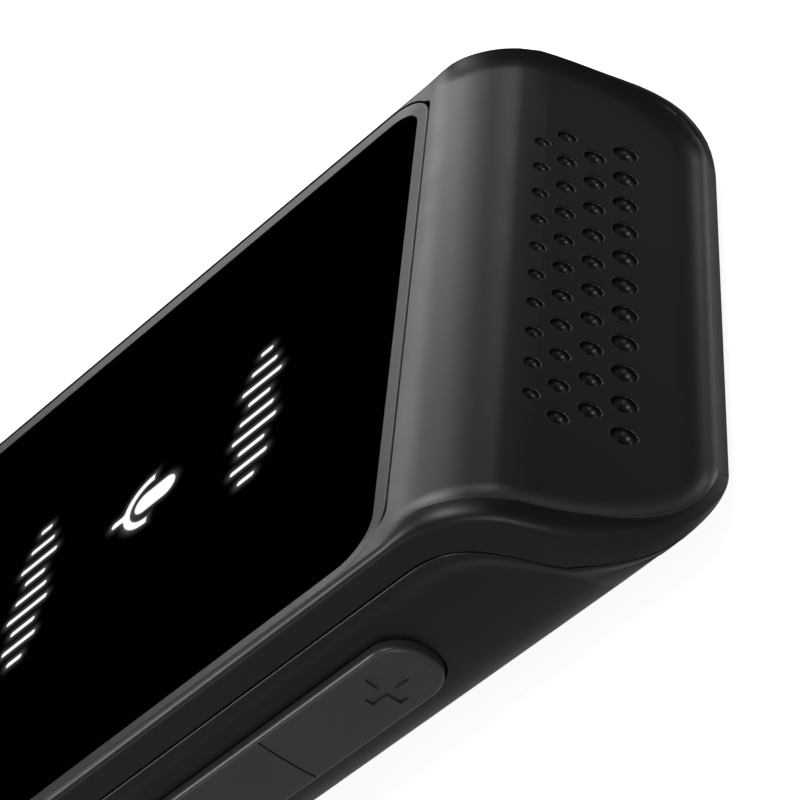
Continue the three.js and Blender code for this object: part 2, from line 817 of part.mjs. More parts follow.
// Chassis: the plate behind the display with its side brackets, standoffs and pillars
function midFrame() {
  const half = bulgeCentreX + sideBulgeRadius - shellWall - fitGap;
  const low = plate(
    [-half, half],
    [frameLowEnd, 0],
    [frameBottom, frameTop],
    planCornerRadius - shellWall - fitGap,
  );
  const highStart = frameLowEnd + planCornerRadius;
  const high = plate([-half, half], [highStart, frameHeadEnd], [frameBottom, frameTop], frameHeadRadius);
  const slotX = grown(around(displayRibbonX, ribbonWidth), fitGap);
  const slotY = [glassTopEdge + looseGap - ribbonThickness - fitGap, barStart];
  const hang = [frameBottom - bracketDepth, frameTop - frameThickness / 2];
  const boards = switchBoards();
  const brackets = boards.map(({ side, range }) =>
    sideBlock(side, [bracketInnerX, switchBoardX], range, hang),
  );
  const standoffs = boardScrewPlaces().map(([x, y]) =>
    rod(standoffRadius, x, y, [boardTop, frameTop - frameThickness / 2]),
  );
  const pillars = [-pillarX, pillarX].map((x) =>
    rod(pillarRadius, x, portBoardHigh - pillarInset, [portBoardTop, frameTop - frameThickness / 2]),
  );
  const boardPilots = boardScrewPlaces().map(([x, y]) =>
    rod(screwRadius + threadGap, x, y, [boardHeight, boardHeight + boardScrewReach + looseGap]),
  );
  const screwHoles = frameScrewPlaces().map(([x, y]) =>
    rod(screwRadius + screwClearance, x, y, [-overrun, overrun]),
  );
  const solidFrame = [high, ...brackets, ...standoffs, ...pillars].reduce((a, b) => a.add(b), low);
  const cuts = [block(slotX, slotY, [-overrun, overrun]), ...boardPilots, ...screwHoles];
  return cuts.reduce((a, b) => a.subtract(b), solidFrame);
}

// Battery and its adhesive pad
function battery() {
  const range = [batteryStart, batteryEnd];
  const x = around(0, batteryWidth);
  return plate(x, range, [batteryBottom, batteryTop], batteryCornerRadius);
}

function batteryPad() {
  const x = grown(around(0, batteryWidth), -padMargin);
  const y = grown([batteryStart, batteryEnd], -padMargin);
  return plate(x, y, [batteryTop, frameBottom], batteryCornerRadius);
}

// Main board and its shields
function mainBoard() {
  const board = plate(
    around(0, boardWidth),
    [boardStart, boardEnd],
    [boardHeight, boardTop],
    boardCornerRadius,
  );
  const holes = boardScrewPlaces().map(([x, y]) =>
    rod(screwRadius + screwClearance, x, y, [-overrun, overrun]),
  );
  return holes.reduce((a, b) => a.subtract(b), board);
}

// Two shields share the board's width: the processor's on the left and the radio's on the right
function shield(side, widthShare, lengthShare) {
  const outer = boardWidth / 2 - canSideBorder;
  const width = (outer * 2 - canGap) * widthShare;
  const xRange = side > 0 ? [outer - width, outer] : [-outer, width - outer];
  const room = boardLength - canEndBorder - canLowBorder;
  const yRange = [boardEnd - canEndBorder - room * lengthShare, boardEnd - canEndBorder];
  const roof = boardTop + canHeight - canWall;
  return block(xRange, yRange, [boardTop, boardTop + canHeight]).subtract(
    block(grown(xRange, -canWall), grown(yRange, -canWall), [boardTop - overrun, roof]),
  );
}

// Speaker, gasket and mesh lie against the inside of the head's slope
function slopePlate(width, height, depth, radius) {
  const y = around(speakerCentre, height);
  return extrude(roundedShape(around(0, width), y, radius), depth, onSlope);
}

const meshRange = [-trayWall - glueGap - meshDepth, -trayWall - glueGap];
const gasketRange = [meshRange[0] - glueGap - gasketDepth, meshRange[0] - glueGap];
const speakerRange = [gasketRange[0] - glueGap - speakerDepth, gasketRange[0] - glueGap];

const speakerMesh = () => slopePlate(speakerWidth, speakerHeight, meshRange, speakerCornerRadius);

function speakerGasket() {
  const innerWidth = speakerWidth - gasketBorder * 2;
  const innerHeight = speakerHeight - gasketBorder * 2;
  const hole = grown(gasketRange, gasketDepth);
  const innerRadius = speakerCornerRadius - gasketBorder;
  return slopePlate(speakerWidth, speakerHeight, gasketRange, speakerCornerRadius).subtract(
    slopePlate(innerWidth, innerHeight, hole, innerRadius),
  );
}

function speaker() {
  const dish = [speakerRange[1] - dishDepth, speakerRange[1] + dishDepth];
  const dishWidth = speakerWidth - dishBorder * 2;
  const dishHeight = speakerHeight - dishBorder * 2;
  return slopePlate(speakerWidth, speakerHeight, speakerRange, speakerCornerRadius).subtract(
    slopePlate(dishWidth, dishHeight, dish, speakerCornerRadius),
  );
}

// Keys
const keys = {
  volume: { side: 1, y: rockerY, length: rockerLength, stems: around(0, rockerStemSpread) },
  power: { side: -1, y: powerY, length: powerLength, stems: [0] },
  talk: { side: -1, y: talkY, length: talkLength, stems: [0] },
};

const keyZ = around(keyCentreHeight, keyHeight);

// Rounded outline in Y and Z that starts at the upper corner towards the head
function keyOutline(length, height, radius) {
  const upper = [0, 1].flatMap((corner) =>
    Array.from({ length: cornerSteps }, (_, i) => {
      const angle = ((corner + i / (cornerSteps - 1)) * Math.PI) / 2;
      const along = (corner ? radius - length / 2 : length / 2 - radius) + radius * Math.cos(angle);
      return [along, height / 2 - radius + radius * Math.sin(angle)];
    }),
  );
  return [...upper, ...upper.map(([y, z]) => [y, -z]).reverse()];
}

// The cap's outer part, its face following the hull at a height above it
function keyBody({ side, y, length }, proud) {
  const ring = (inset, lift) =>
    keyOutline(length - inset * 2, keyHeight - inset * 2, keyCornerRadius - inset).map(([along, up]) => {
      const height = keyCentreHeight + up;
      const x = lift === undefined ? flangeOuterX : hullHalfWidth(height, 0) + stepDepth + lift;
      return [side * x, y + side * along, height];
    });
  return solid(loft([ring(keyEdge, proud), ring(0, proud - keyEdge), ring(0)]));
}

// Plus, minus and the mark that splits the rocker, sunk to one depth below its face
function rockerMarks(key) {
  const outside = [flangeOuterX, overrun];
  const plusY = key.y + key.length / 2 - symbolFromEnd;
  const minusY = key.y - key.length / 2 + symbolFromEnd;
  const bar = (y, z) => block(outside, y, z);
  const stroke = around(keyCentreHeight, symbolStroke);
  const plusUpright = bar(around(plusY, symbolStroke), around(keyCentreHeight, symbolSize));
  const plusAcross = bar(around(plusY, symbolSize), stroke);
  const minus = bar(around(minusY, symbolSize), stroke);
  const split = bar(around(key.y, keySplitWidth), grown(keyZ, -keySplitMargin));
  const marks = plusAcross.add(plusUpright).add(minus).add(split);
  return marks.subtract(keyBody(key, keyProud - symbolDepth));
}

function keyCap(key) {
  const { side, y, length, stems } = key;
  const flangeY = grown(around(y, length), keyFlangeEndBorder);
  const flangeX = [flangeInnerX, flangeOuterX];
  const flange = sideBlock(side, flangeX, flangeY, grown(keyZ, keyFlangeSideBorder));
  const stemZ = around(keyCentreHeight, keyStemWidth);
  const stemX = [stemEndX, flangeInnerX];
  return stems.reduce(
    (made, at) => made.add(sideBlock(side, stemX, around(y + at, keyStemWidth), stemZ)),
    keyBody(key, keyProud).add(flange),
  );
}

// The opening for a key and the pocket behind the wall for its flange
function keyRoom({ side, y, length }) {
  const openY = grown(around(y, length), keyGap);
  const shape = roundedShape(openY, grown(keyZ, keyGap), keyCornerRadius + keyGap);
  const range = side > 0 ? [0, overrun] : [-overrun, 0];
  const pocketY = grown(around(y, length), keyFlangeEndBorder + fitGap);
  const pocketZ = grown(keyZ, keyFlangeSideBorder + fitGap);
  return extrude(shape, range, alongX).add(sideBlock(side, [0, keyPocketX], pocketY, pocketZ));
}

// One board on each side, long enough for its switches
function switchBoards() {
  const switchesOn = (side) =>
    Object.values(keys)
      .filter((key) => key.side === side)
      .flatMap((key) => key.stems.map((at) => key.y + at));
  return [1, -1].map((side) => {
    const places = switchesOn(side);
    const range = [Math.min(...places), Math.max(...places)];
    return { side, range: grown(range, switchSize / 2 + switchBoardBorder) };
  });
}

function switchBoard({ side, range }) {
  const height = around(keyCentreHeight, switchBoardHeight);
  return sideBlock(side, [switchBoardX, switchInnerX], range, height);
}

function keySwitch({ side, y, stems }, index = 0) {
  const at = y + stems[index];
  const box = [switchInnerX, switchOuterX - plungerLength];
  const size = (width) => [around(at, width), around(keyCentreHeight, width)];
  return sideBlock(side, box, ...size(switchSize)).add(
    sideBlock(side, [box[0], switchOuterX], ...size(plungerWidth)),
  );
}

// Camera, window and lamp look out through the back
function cameraModule() {
  const bottom = boardHeight - cameraThickness;
  const body = block(around(0, cameraSize), around(cameraY, cameraSize), [bottom, boardHeight]);
  const barrel = [windowSink + windowThickness + fitGap, boardHeight - cameraThickness / 2];
  return body.add(rod(barrelRadius, 0, cameraY, barrel, barrelSides));
}

const cameraWindow = () =>
  rod(windowRadius, 0, cameraY, [windowSink, windowSink + windowThickness], windowSides);

function flashLamp() {
  const base = [boardHeight - lampBaseHeight, boardHeight];
  const x = around(backDetailOffset, lampBase);
  return block(x, around(cameraY, lampBase), base).add(
    rod(lampRadius, backDetailOffset, cameraY, [windowSink, boardHeight - lampBaseHeight / 2]),
  );
}

// Microphones
function microphone(x, y, z) {
  return block(around(x, micWidth), y, z);
}

const upperMicrophone = () =>
  microphone(-backDetailOffset, around(cameraY, micLength), [boardHeight - micThickness, boardHeight]);

const lowerMicrophone = () =>
  microphone(
    -lowerMicX,
    [portBoardLow, portBoardLow + micLength],
    [portBoardTop, portBoardTop + micThickness],
  );

// Charging port, its board and the ribbon to the main board
function portShape(border) {
  const width = portWidth / 2 + border;
  const z = grown(around(portCentreHeight, portHeight), border);
  return roundedShape([-width, width], z, portHeight / 2 + border);
}

function chargingPort() {
  const depth = [-portMouthY - portDepth, -portMouthY];
  const inner = [depth[0] + portBackWall, depth[1] + overrun];
  const tongueY = [portMouthY + portTongueGap, portMouthY + portDepth - portBackWall / 2];
  const tongueZ = around(portCentreHeight, portTongueThickness);
  return extrude(portShape(0), depth, towardsLowEnd)
    .subtract(extrude(portShape(-portWall), inner, towardsLowEnd))
    .add(block(around(0, portTongueWidth), tongueY, tongueZ));
}

const portBoard = () =>
  plate(
    around(0, portBoardWidth),
    [portBoardLow, portBoardHigh],
    [portBoardBottom, portBoardTop],
    boardCornerRadius,
  );

function portFlex() {
  const under = batteryBottom - looseGap;
  const runZ = under - ribbonThickness;
  const footZ = portBoardBottom - ribbonThickness;
  const endZ = boardHeight - ribbonThickness;
  return ribbon(portRibbonX, [
    [portBoardHigh - ribbonFoot, footZ],
    [portBoardHigh, footZ],
    [batteryStart, runZ],
    [batteryEnd + ribbonBend, runZ],
    [boardStart, endZ],
    [boardStart + ribbonFoot, endZ],
  ]);
}

const antennaStrip = () => {
  const start = frameLowEnd + antennaFromEnd;
  const z = [frameBottom - antennaThickness, frameBottom];
  return block(around(0, antennaWidth), [start, start + antennaLength], z);
};

// Rear housing with its openings and the posts under the port's board
function backShell() {
  const windowTop = windowSink + windowThickness;
  const micHole = circle(-lowerMicX, portBoardTop + micThickness / 2, micHoleRadius);
  const cuts = [
    solid(hullInside(shellWall)),
    ...Object.values(keys).map(keyRoom),
    extrude(portShape(fitGap / 2), [0, overrun], towardsLowEnd),
    extrude(micHole, [0, overrun], towardsLowEnd),
    rod(micHoleRadius, -backDetailOffset, cameraY, [-overrun, overrun]),
    rod(lampRadius + windowGap, backDetailOffset, cameraY, [-overrun, overrun]),
    rod(windowRadius + windowGap, 0, cameraY, [-overrun, windowTop], windowSides),
    rod(cameraHoleRadius, 0, cameraY, [-overrun, overrun], barrelSides),
  ];
  const hollow = cuts.reduce((made, cut) => made.subtract(cut), solid(hullBlock()));
  const posts = [-postX, postX].map((x) =>
    rod(postRadius, x, portBoardLow + postRadius, [shellWall / 2, portBoardBottom]),
  );
  return posts.reduce((made, post) => made.add(post), hollow);
}

place("front_shell", frontShell(), shellPlastic);
place("back_shell", backShell(), shellPlastic);
place("screen_rim", screenRim(), rimPlastic);
place("cover_glass", coverGlass(), screenGlass);
place("display_panel", displayPanel(), displayBack);
place("display_flex", displayFlex(), ribbonAmber);
place("mid_frame", midFrame(), framePlastic);
place("battery", battery(), batteryWrap);
place("battery_pad", batteryPad(), foam);
place("main_board", mainBoard(), circuitGreen);
place("processor_shield", shield(-1, processorWidthShare, processorLengthShare), steel);
place("radio_shield", shield(1, 1 - processorWidthShare, radioLengthShare), steel);
place("speaker_mesh", speakerMesh(), blackPlastic);
place("speaker_gasket", speakerGasket(), foam);
place("speaker", speaker(), blackPlastic);
place("volume_key", keyCap(keys.volume).subtract(rockerMarks(keys.volume)), keyPlastic);
place("power_key", keyCap(keys.power), keyPlastic);
place("talk_key", keyCap(keys.talk), keyPlastic);
const [volumeBoard, sideBoard] = switchBoards();
place("volume_switch_board", switchBoard(volumeBoard), circuitGreen);
place("side_switch_board", switchBoard(sideBoard), circuitGreen);
place("volume_down_switch", keySwitch(keys.volume, 0), blackPlastic);
place("volume_up_switch", keySwitch(keys.volume, 1), blackPlastic);
place("power_switch", keySwitch(keys.power), blackPlastic);
place("talk_switch", keySwitch(keys.talk), blackPlastic);
place("camera_module", cameraModule(), blackPlastic);
place("camera_window", cameraWindow(), screenGlass);
place("flash_lamp", flashLamp(), lampLens);
place("charging_port", chargingPort(), steel);
place("port_board", portBoard(), circuitGreen);
place("port_flex", portFlex(), ribbonAmber);
place("lower_microphone", lowerMicrophone(), steel);
place("upper_microphone", upperMicrophone(), steel);
place("antenna_strip", antennaStrip(), ribbonAmber);
frameScrewPlaces().forEach(([x, y], index) => {
  const made = screw(x, y, frameBottom, frameThickness + frameScrewReach);
  place(`frame_screw_${index + 1}`, made, screwSteel);
});
boardScrewPlaces().forEach(([x, y], index) => {
  place(`board_screw_${index + 1}`, screw(x, y, boardHeight, boardScrewReach), screwSteel);
});

export default group;
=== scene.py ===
"""Looks of the handheld translator: fine housing shells, screen, keys, finishes, light and camera."""
import logging
import math
from abc import ABC, abstractmethod
from collections.abc import Callable, Iterable, Sequence
from dataclasses import dataclass
from enum import Enum

import bpy
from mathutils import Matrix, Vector


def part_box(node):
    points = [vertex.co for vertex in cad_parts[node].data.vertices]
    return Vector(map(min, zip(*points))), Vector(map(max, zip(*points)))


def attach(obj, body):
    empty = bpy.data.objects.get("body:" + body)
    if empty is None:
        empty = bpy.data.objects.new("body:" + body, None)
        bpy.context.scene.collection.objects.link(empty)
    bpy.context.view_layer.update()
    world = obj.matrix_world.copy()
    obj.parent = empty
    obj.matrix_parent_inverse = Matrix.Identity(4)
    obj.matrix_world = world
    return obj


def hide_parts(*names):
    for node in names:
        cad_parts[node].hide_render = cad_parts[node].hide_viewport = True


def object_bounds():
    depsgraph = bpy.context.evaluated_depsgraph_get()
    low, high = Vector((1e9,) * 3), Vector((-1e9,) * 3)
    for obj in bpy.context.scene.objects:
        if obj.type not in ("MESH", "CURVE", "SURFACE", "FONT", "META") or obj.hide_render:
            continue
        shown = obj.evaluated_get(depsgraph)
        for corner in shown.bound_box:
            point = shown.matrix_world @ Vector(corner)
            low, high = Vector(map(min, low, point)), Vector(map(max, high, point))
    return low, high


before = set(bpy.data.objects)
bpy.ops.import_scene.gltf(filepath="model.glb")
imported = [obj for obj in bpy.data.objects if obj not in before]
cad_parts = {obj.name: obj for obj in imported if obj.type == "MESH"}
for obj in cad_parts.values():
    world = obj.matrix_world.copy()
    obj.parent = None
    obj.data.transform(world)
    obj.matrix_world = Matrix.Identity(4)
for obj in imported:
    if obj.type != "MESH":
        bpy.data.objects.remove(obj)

# Sizes are in millimetres, and MM turns them into the scene's metres.
CAD_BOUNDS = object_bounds()
MM = 0.001
OVERRUN = 20.0
OVERLAP = 0.05
NEAR = 0.01
HAIR = 0.001
MERGE = 0.002
PARALLEL = 0.99
log = logging.getLogger("translator")

Point = tuple[float, float, float]
Range = tuple[float, float]
Colour = tuple[float, float, float]
Chooser = Callable[[Vector, Vector], bool]

BLACK: Colour = (0.0, 0.0, 0.0)
WHITE: Colour = (1.0, 1.0, 1.0)


def clamp(value: float) -> float:
    """Hold a value between 0 and 1."""
    return min(1.0, max(0.0, value))


def smooth(share: float) -> float:
    """Ease a share in and out."""
    return clamp(share) ** 2 * (3 - 2 * clamp(share))


def mix(start: float, end: float, share: float) -> float:
    """Go from start to end by a share."""
    return start + (end - start) * share


def shares(steps: int) -> list[float]:
    """Even shares from 0 to 1."""
    return [step / steps for step in range(steps + 1)]


def middle(span: Range) -> float:
    """The middle of a range."""
    return (span[0] + span[1]) / 2


def around(centre: float, size: float) -> Range:
    """The range of a size about its centre."""
    return centre - size / 2, centre + size / 2


def grown(span: Range, border: float) -> Range:
    """A range that is wider by a border at both ends."""
    return span[0] - border, span[1] + border


def node_spans(node: str) -> tuple[Range, ...]:
    """The spans of a CAD node along X, Y and Z."""
    return tuple((low / MM, high / MM) for low, high in zip(*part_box(node)))


def toned(colour: Colour, share: float) -> Colour:
    """A colour with each level times a share."""
    return tuple(level * share for level in colour)


def edges_along(axis: int) -> Chooser:
    """Choose the edges that run along an axis."""
    return lambda start, end: abs((start - end).normalized()[axis]) > PARALLEL


def edges_from(axis: int, level: float) -> Chooser:
    """Choose the edges that lie at a level along an axis, or past it."""
    return lambda start, end: min(start[axis], end[axis]) > (level - NEAR) * MM


def edges_up_to(axis: int, level: float) -> Chooser:
    """Choose the edges that lie at a level along an axis, or before it."""
    return lambda start, end: max(start[axis], end[axis]) < (level + NEAR) * MM


class Body(Enum):
    """The rigid bodies that pieces ride on."""

    HOUSING = "body"
    ROCKER = "volume_rocker"
    POWER = "power_button"
    TALK = "talk_button"


class Side(Enum):
    """The long side that a key is in."""

    RIGHT = 1
    LEFT = -1


class Value:
    """A shader socket that takes part in Python arithmetic."""

    def __init__(self, tree: "Tree", socket: bpy.types.NodeSocket) -> None:
        """Wrap a socket of a tree."""
        self.tree = tree
        self.socket = socket

    def __add__(self, other: "Value | float") -> "Value":
        """Add."""
        return self.tree.math("ADD", self, other)

    def __sub__(self, other: "Value | float") -> "Value":
        """Subtract."""
        return self.tree.math("SUBTRACT", self, other)

    def __rsub__(self, other: float) -> "Value":
        """Subtract from a number."""
        return self.tree.math("SUBTRACT", other, self)

    def __mul__(self, other: "Value | float") -> "Value":
        """Multiply."""
        return self.tree.math("MULTIPLY", self, other)

    def __truediv__(self, other: "Value | float") -> "Value":
        """Divide."""
        return self.tree.math("DIVIDE", self, other)

    def __neg__(self) -> "Value":
        """Turn the sign round."""
        return self.tree.math("MULTIPLY", self, -1.0)

    def __abs__(self) -> "Value":
        """Drop the sign."""
        return self.tree.math("ABSOLUTE", self)

    __radd__ = __add__
    __rmul__ = __mul__


Input = Value | float | Sequence[float]


class Tree:
    """The node tree of a material or of the world."""

    noise_detail = 2.0

    def __init__(self, owner: bpy.types.Material | bpy.types.World) -> None:
        """Start with an empty tree.

        Args:
            owner: The material or world that the tree belongs to.
        """
        owner.use_nodes = True
        self.owner = owner
        self.nodes = owner.node_tree.nodes
        self.links = owner.node_tree.links
        self.nodes.clear()

    @classmethod
    def of_material(cls, name: str) -> "Tree":
        """Start the tree of a new material."""
        return cls(bpy.data.materials.new(name))

    def node(
        self,
        kind: str,
        settings: dict[str, object] | None = None,
        inputs: dict[str | int, Input] | None = None,
    ) -> bpy.types.Node:
        """Add a node.

        Args:
            kind: The node's type name.
            settings: Attributes, which are set before the sockets.
            inputs: Socket names or numbers and their values or links.

        Returns:
            The new node.
        """
        made = self.nodes.new(kind)
        for key, value in (settings or {}).items():
            setattr(made, key, value)
        for key, value in (inputs or {}).items():
            if isinstance(value, Value):
                self.links.new(value.socket, made.inputs[key])
            else:
                made.inputs[key].default_value = value
        return made

    def out(self, made: bpy.types.Node, socket: str | int = 0) -> Value:
        """Wrap one output of a node."""
        return Value(self, made.outputs[socket])

    def math(self, operation: str, *values: Value | float) -> Value:
        """Combine one to three values by a Math node."""
        return self.out(self.node("ShaderNodeMath", {"operation": operation}, dict(enumerate(values))))

    def distance(self, x: Value, y: Value) -> Value:
        """The length of a flat step."""
        return self.math("SQRT", x * x + y * y)

    def place(self) -> Value:
        """The surface point in the object's own coordinates."""
        return self.out(self.node("ShaderNodeTexCoord"), "Object")

    def axes(self) -> tuple[Value, ...]:
        """The surface point's X, Y and Z in millimetres."""
        parts = self.node("ShaderNodeSeparateXYZ", inputs={0: self.place()})
        return tuple(self.out(parts, axis) * (1 / MM) for axis in range(3))

    def noise(self, grain: float) -> Value:
        """Noise with a grain in millimetres."""
        inputs = {"Vector": self.place(), "Scale": 1 / (grain * MM), "Detail": self.noise_detail}
        return self.out(self.node("ShaderNodeTexNoise", inputs=inputs), "Fac")

    def colour(self, factor: Value, low: Colour, high: Colour) -> Value:
        """Mix two colours by a factor, from low at 0 to high at 1."""
        inputs = {0: factor, 6: (*low, 1.0), 7: (*high, 1.0)}
        return self.out(self.node("ShaderNodeMix", {"data_type": "RGBA"}, inputs), 2)

    def bump(self, height: Value, depth: float) -> Value:
        """Turn a height from 0 to 1 into a normal, its depth in millimetres."""
        inputs = {"Height": height, "Distance": depth * MM, "Strength": 1.0}
        return self.out(self.node("ShaderNodeBump", inputs=inputs))

    def surface(self, **sockets: Input) -> bpy.types.Material:
        """Finish with a Principled surface.

        Args:
            sockets: Socket names with underscores for spaces, and their values.

        Returns:
            The material.
        """
        inputs = {key.replace("_", " "): value for key, value in sockets.items()}
        shader = self.node("ShaderNodeBsdfPrincipled", inputs=inputs)
        self.node("ShaderNodeOutputMaterial", inputs={"Surface": self.out(shader)})
        return self.owner


@dataclass(frozen=True)
class Finish(ABC):
    """A surface finish, named after its material."""

    name: str

    @abstractmethod
    def material(self) -> bpy.types.Material:
        """Build the finish as a material."""


@dataclass(frozen=True)
class Plastic(Finish):
    """Moulded plastic with a fine satin grain, whose tone and gloss drift a little."""

    tone: Colour
    roughness: float = 0.45
    specular: float = 0.4
    grain: float = 0.14
    grain_depth: float = 0.0015
    tone_grain: float = 9.0
    tone_drift: float = 0.12
    gloss_grain: float = 2.5
    gloss_drift: float = 0.1

    def material(self) -> bpy.types.Material:
        """Build the finish as a material.

        Returns:
            The material.
        """
        tree = Tree.of_material(self.name)
        low, high = toned(self.tone, 1 - self.tone_drift), toned(self.tone, 1 + self.tone_drift)
        return tree.surface(
            Base_Color=tree.colour(tree.noise(self.tone_grain), low, high),
            Roughness=self.roughness + (tree.noise(self.gloss_grain) - 0.5) * self.gloss_drift,
            Specular_IOR_Level=self.specular,
            Normal=tree.bump(tree.noise(self.grain), self.grain_depth),
        )


@dataclass(frozen=True)
class Metal(Finish):
    """Plated or brushed sheet metal with fine streaks across it."""

    tone: Colour
    roughness: float = 0.32
    streaks_per_metre: float = 900.0
    streak_stretch: float = 14.0
    streak_detail: float = 3.0
    streak_shade: float = 0.9
    streak_gloss: float = 0.16
    streak_depth: float = 0.002

    def material(self) -> bpy.types.Material:
        """Build the finish as a material.

        Returns:
            The material.
        """
        tree = Tree.of_material(self.name)
        scale = {"Vector": tree.place(), "Scale": (1, self.streak_stretch, 1)}
        stretched = tree.out(tree.node("ShaderNodeMapping", inputs=scale))
        inputs = {"Vector": stretched, "Scale": self.streaks_per_metre, "Detail": self.streak_detail}
        streaks = tree.out(tree.node("ShaderNodeTexNoise", inputs=inputs), "Fac")
        return tree.surface(
            Base_Color=tree.colour(streaks, toned(self.tone, self.streak_shade), self.tone),
            Metallic=1.0,
            Roughness=self.roughness + (streaks - 0.5) * self.streak_gloss,
            Normal=tree.bump(streaks, self.streak_depth),
        )


@dataclass(frozen=True)
class CircuitBoard(Finish):
    """Green solder mask over a pattern of copper tracks."""

    name: str = "circuit_board"
    mask: Colour = (0.005, 0.045, 0.02)
    track: Colour = (0.012, 0.085, 0.035)
    cell: float = 2.16
    disorder: float = 0.15
    track_share: float = 0.09
    track_depth: float = 0.02
    roughness: float = 0.35
    track_roughness: float = 0.12

    def material(self) -> bpy.types.Material:
        """Build the finish as a material.

        Returns:
            The material.
        """
        tree = Tree.of_material(self.name)
        cells = {"Vector": tree.place(), "Scale": 1 / (self.cell * MM), "Randomness": self.disorder}
        settings = {"feature": "DISTANCE_TO_EDGE"}
        edge = tree.out(tree.node("ShaderNodeTexVoronoi", settings, cells), "Distance")
        tracks = tree.math("LESS_THAN", edge, self.track_share)
        return tree.surface(
            Base_Color=tree.colour(tracks, self.mask, self.track),
            Roughness=self.roughness + tracks * self.track_roughness,
            Normal=tree.bump(tracks, self.track_depth),
        )


@dataclass(frozen=True)
class Foam(Finish):
    """Open foam or pressed felt, its pores painted darker in their hollows as painted shade."""

    tone: Colour
    cell: float = 0.35
    # How much lighter the pore walls are painted than the pore centres, which carry painted shade.
    unshaded_wall_share: float = 1.8
    roughness: float = 0.85
    pore_roughness: float = 0.1
    specular: float = 0.2
    depth: float = 0.05

    def material(self) -> bpy.types.Material:
        """Build the finish as a material.

        Returns:
            The material.
        """
        tree = Tree.of_material(self.name)
        cells = {"Vector": tree.place(), "Scale": 1 / (self.cell * MM)}
        pores = tree.out(tree.node("ShaderNodeTexVoronoi", inputs=cells), "Distance")
        return tree.surface(
            # Painted shade: the pore centres, where the bump sinks, are darker than the walls between them.
            Base_Color=tree.colour(pores, self.tone, toned(self.tone, self.unshaded_wall_share)),
            Roughness=self.roughness + pores * self.pore_roughness,
            Specular_IOR_Level=self.specular,
            Normal=tree.bump(pores, self.depth),
        )


@dataclass(frozen=True)
class WovenMesh(Finish):
    """Fine acoustic mesh of crossing threads, painted darker in the gaps between them as painted shade."""

    name: str = "acoustic_mesh"
    thread: Colour = (0.03, 0.03, 0.03)
    # Colour of the gaps between the threads: painted shade.
    gap: Colour = (0.004, 0.004, 0.004)
    pitch: float = 0.22
    depth: float = 0.04
    roughness: float = 0.75
    thread_gloss: float = 0.2

    def material(self) -> bpy.types.Material:
        """Build the finish as a material.

        Returns:
            The material.
        """
        tree = Tree.of_material(self.name)
        x, _, z = tree.axes()
        across, down = (tree.math("SINE", axis * (math.tau / self.pitch)) for axis in (x, z))
        weave = abs(across * down)
        return tree.surface(
            # Painted shade: where the bump sinks between the threads, the colour goes to the dark gap tone.
            Base_Color=tree.colour(weave, self.gap, self.thread),
            Roughness=self.roughness - weave * self.thread_gloss,
            Normal=tree.bump(weave, self.depth),
        )


@dataclass(frozen=True)
class Stroke:
    """A straight stroke along Y with round ends, drawn on the screen."""

    x: float
    y: float
    length: float
    width: float

    def distance(self, tree: Tree, x: Value, y: Value) -> Value:
        """How far a point lies outside the stroke.

        Args:
            tree: The material's tree.
            x: The point's X.
            y: The point's Y.

        Returns:
            The distance, below zero inside.
        """
        reach = (self.length - self.width) / 2
        along = tree.math("MAXIMUM", abs(y - self.y) - reach, 0.0)
        return tree.distance(x - self.x, along) - self.width / 2


@dataclass(frozen=True)
class Cup:
    """The lower half of a ring, drawn on the screen."""

    x: float
    y: float
    radius: float
    width: float

    def distance(self, tree: Tree, x: Value, y: Value) -> Value:
        """How far a point lies outside the half ring.

        Args:
            tree: The material's tree.
            x: The point's X.
            y: The point's Y.

        Returns:
            The distance, below zero inside.
        """
        along = y - self.y
        ring = abs(tree.distance(x - self.x, along) - self.radius) - self.width / 2
        return tree.math("MAXIMUM", ring, along)


@dataclass(frozen=True)
class ScreenPicture:
    """Plain marks on the lit screen: two rows of sound bars with a microphone between them."""

    bar_heights: tuple[float, ...] = (1.2, 2.6, 4.0, 2.2, 3.4, 4.4, 2.6, 3.6, 1.6)
    bar_pitch: float = 1.9
    bar_width: float = 0.42
    rows_from_top: tuple[float, ...] = (13.9, 38.1)
    microphone_from_top: float = 25.4
    head_rise: float = 0.9
    head_length: float = 4.2
    head_width: float = 2.1
    cup_rise: float = 0.4
    cup_radius: float = 2.5
    stand_drop: float = 2.9
    stand_length: float = 1.6
    line_width: float = 0.6

    def marks(self, top: float) -> tuple[Stroke | Cup, ...]:
        """Lay the marks out.

        Args:
            top: The top end of the glass.

        Returns:
            The marks.
        """
        half = (len(self.bar_heights) - 1) / 2
        bars = [
            Stroke((place - half) * self.bar_pitch, top - away, height, self.bar_width)
            for away in self.rows_from_top
            for place, height in enumerate(self.bar_heights)
        ]
        centre = top - self.microphone_from_top
        return (
            *bars,
            Stroke(0.0, centre + self.head_rise, self.head_length, self.head_width),
            Cup(0.0, centre + self.cup_rise, self.cup_radius, self.line_width),
            Stroke(0.0, centre - self.stand_drop, self.stand_length, self.line_width),
        )


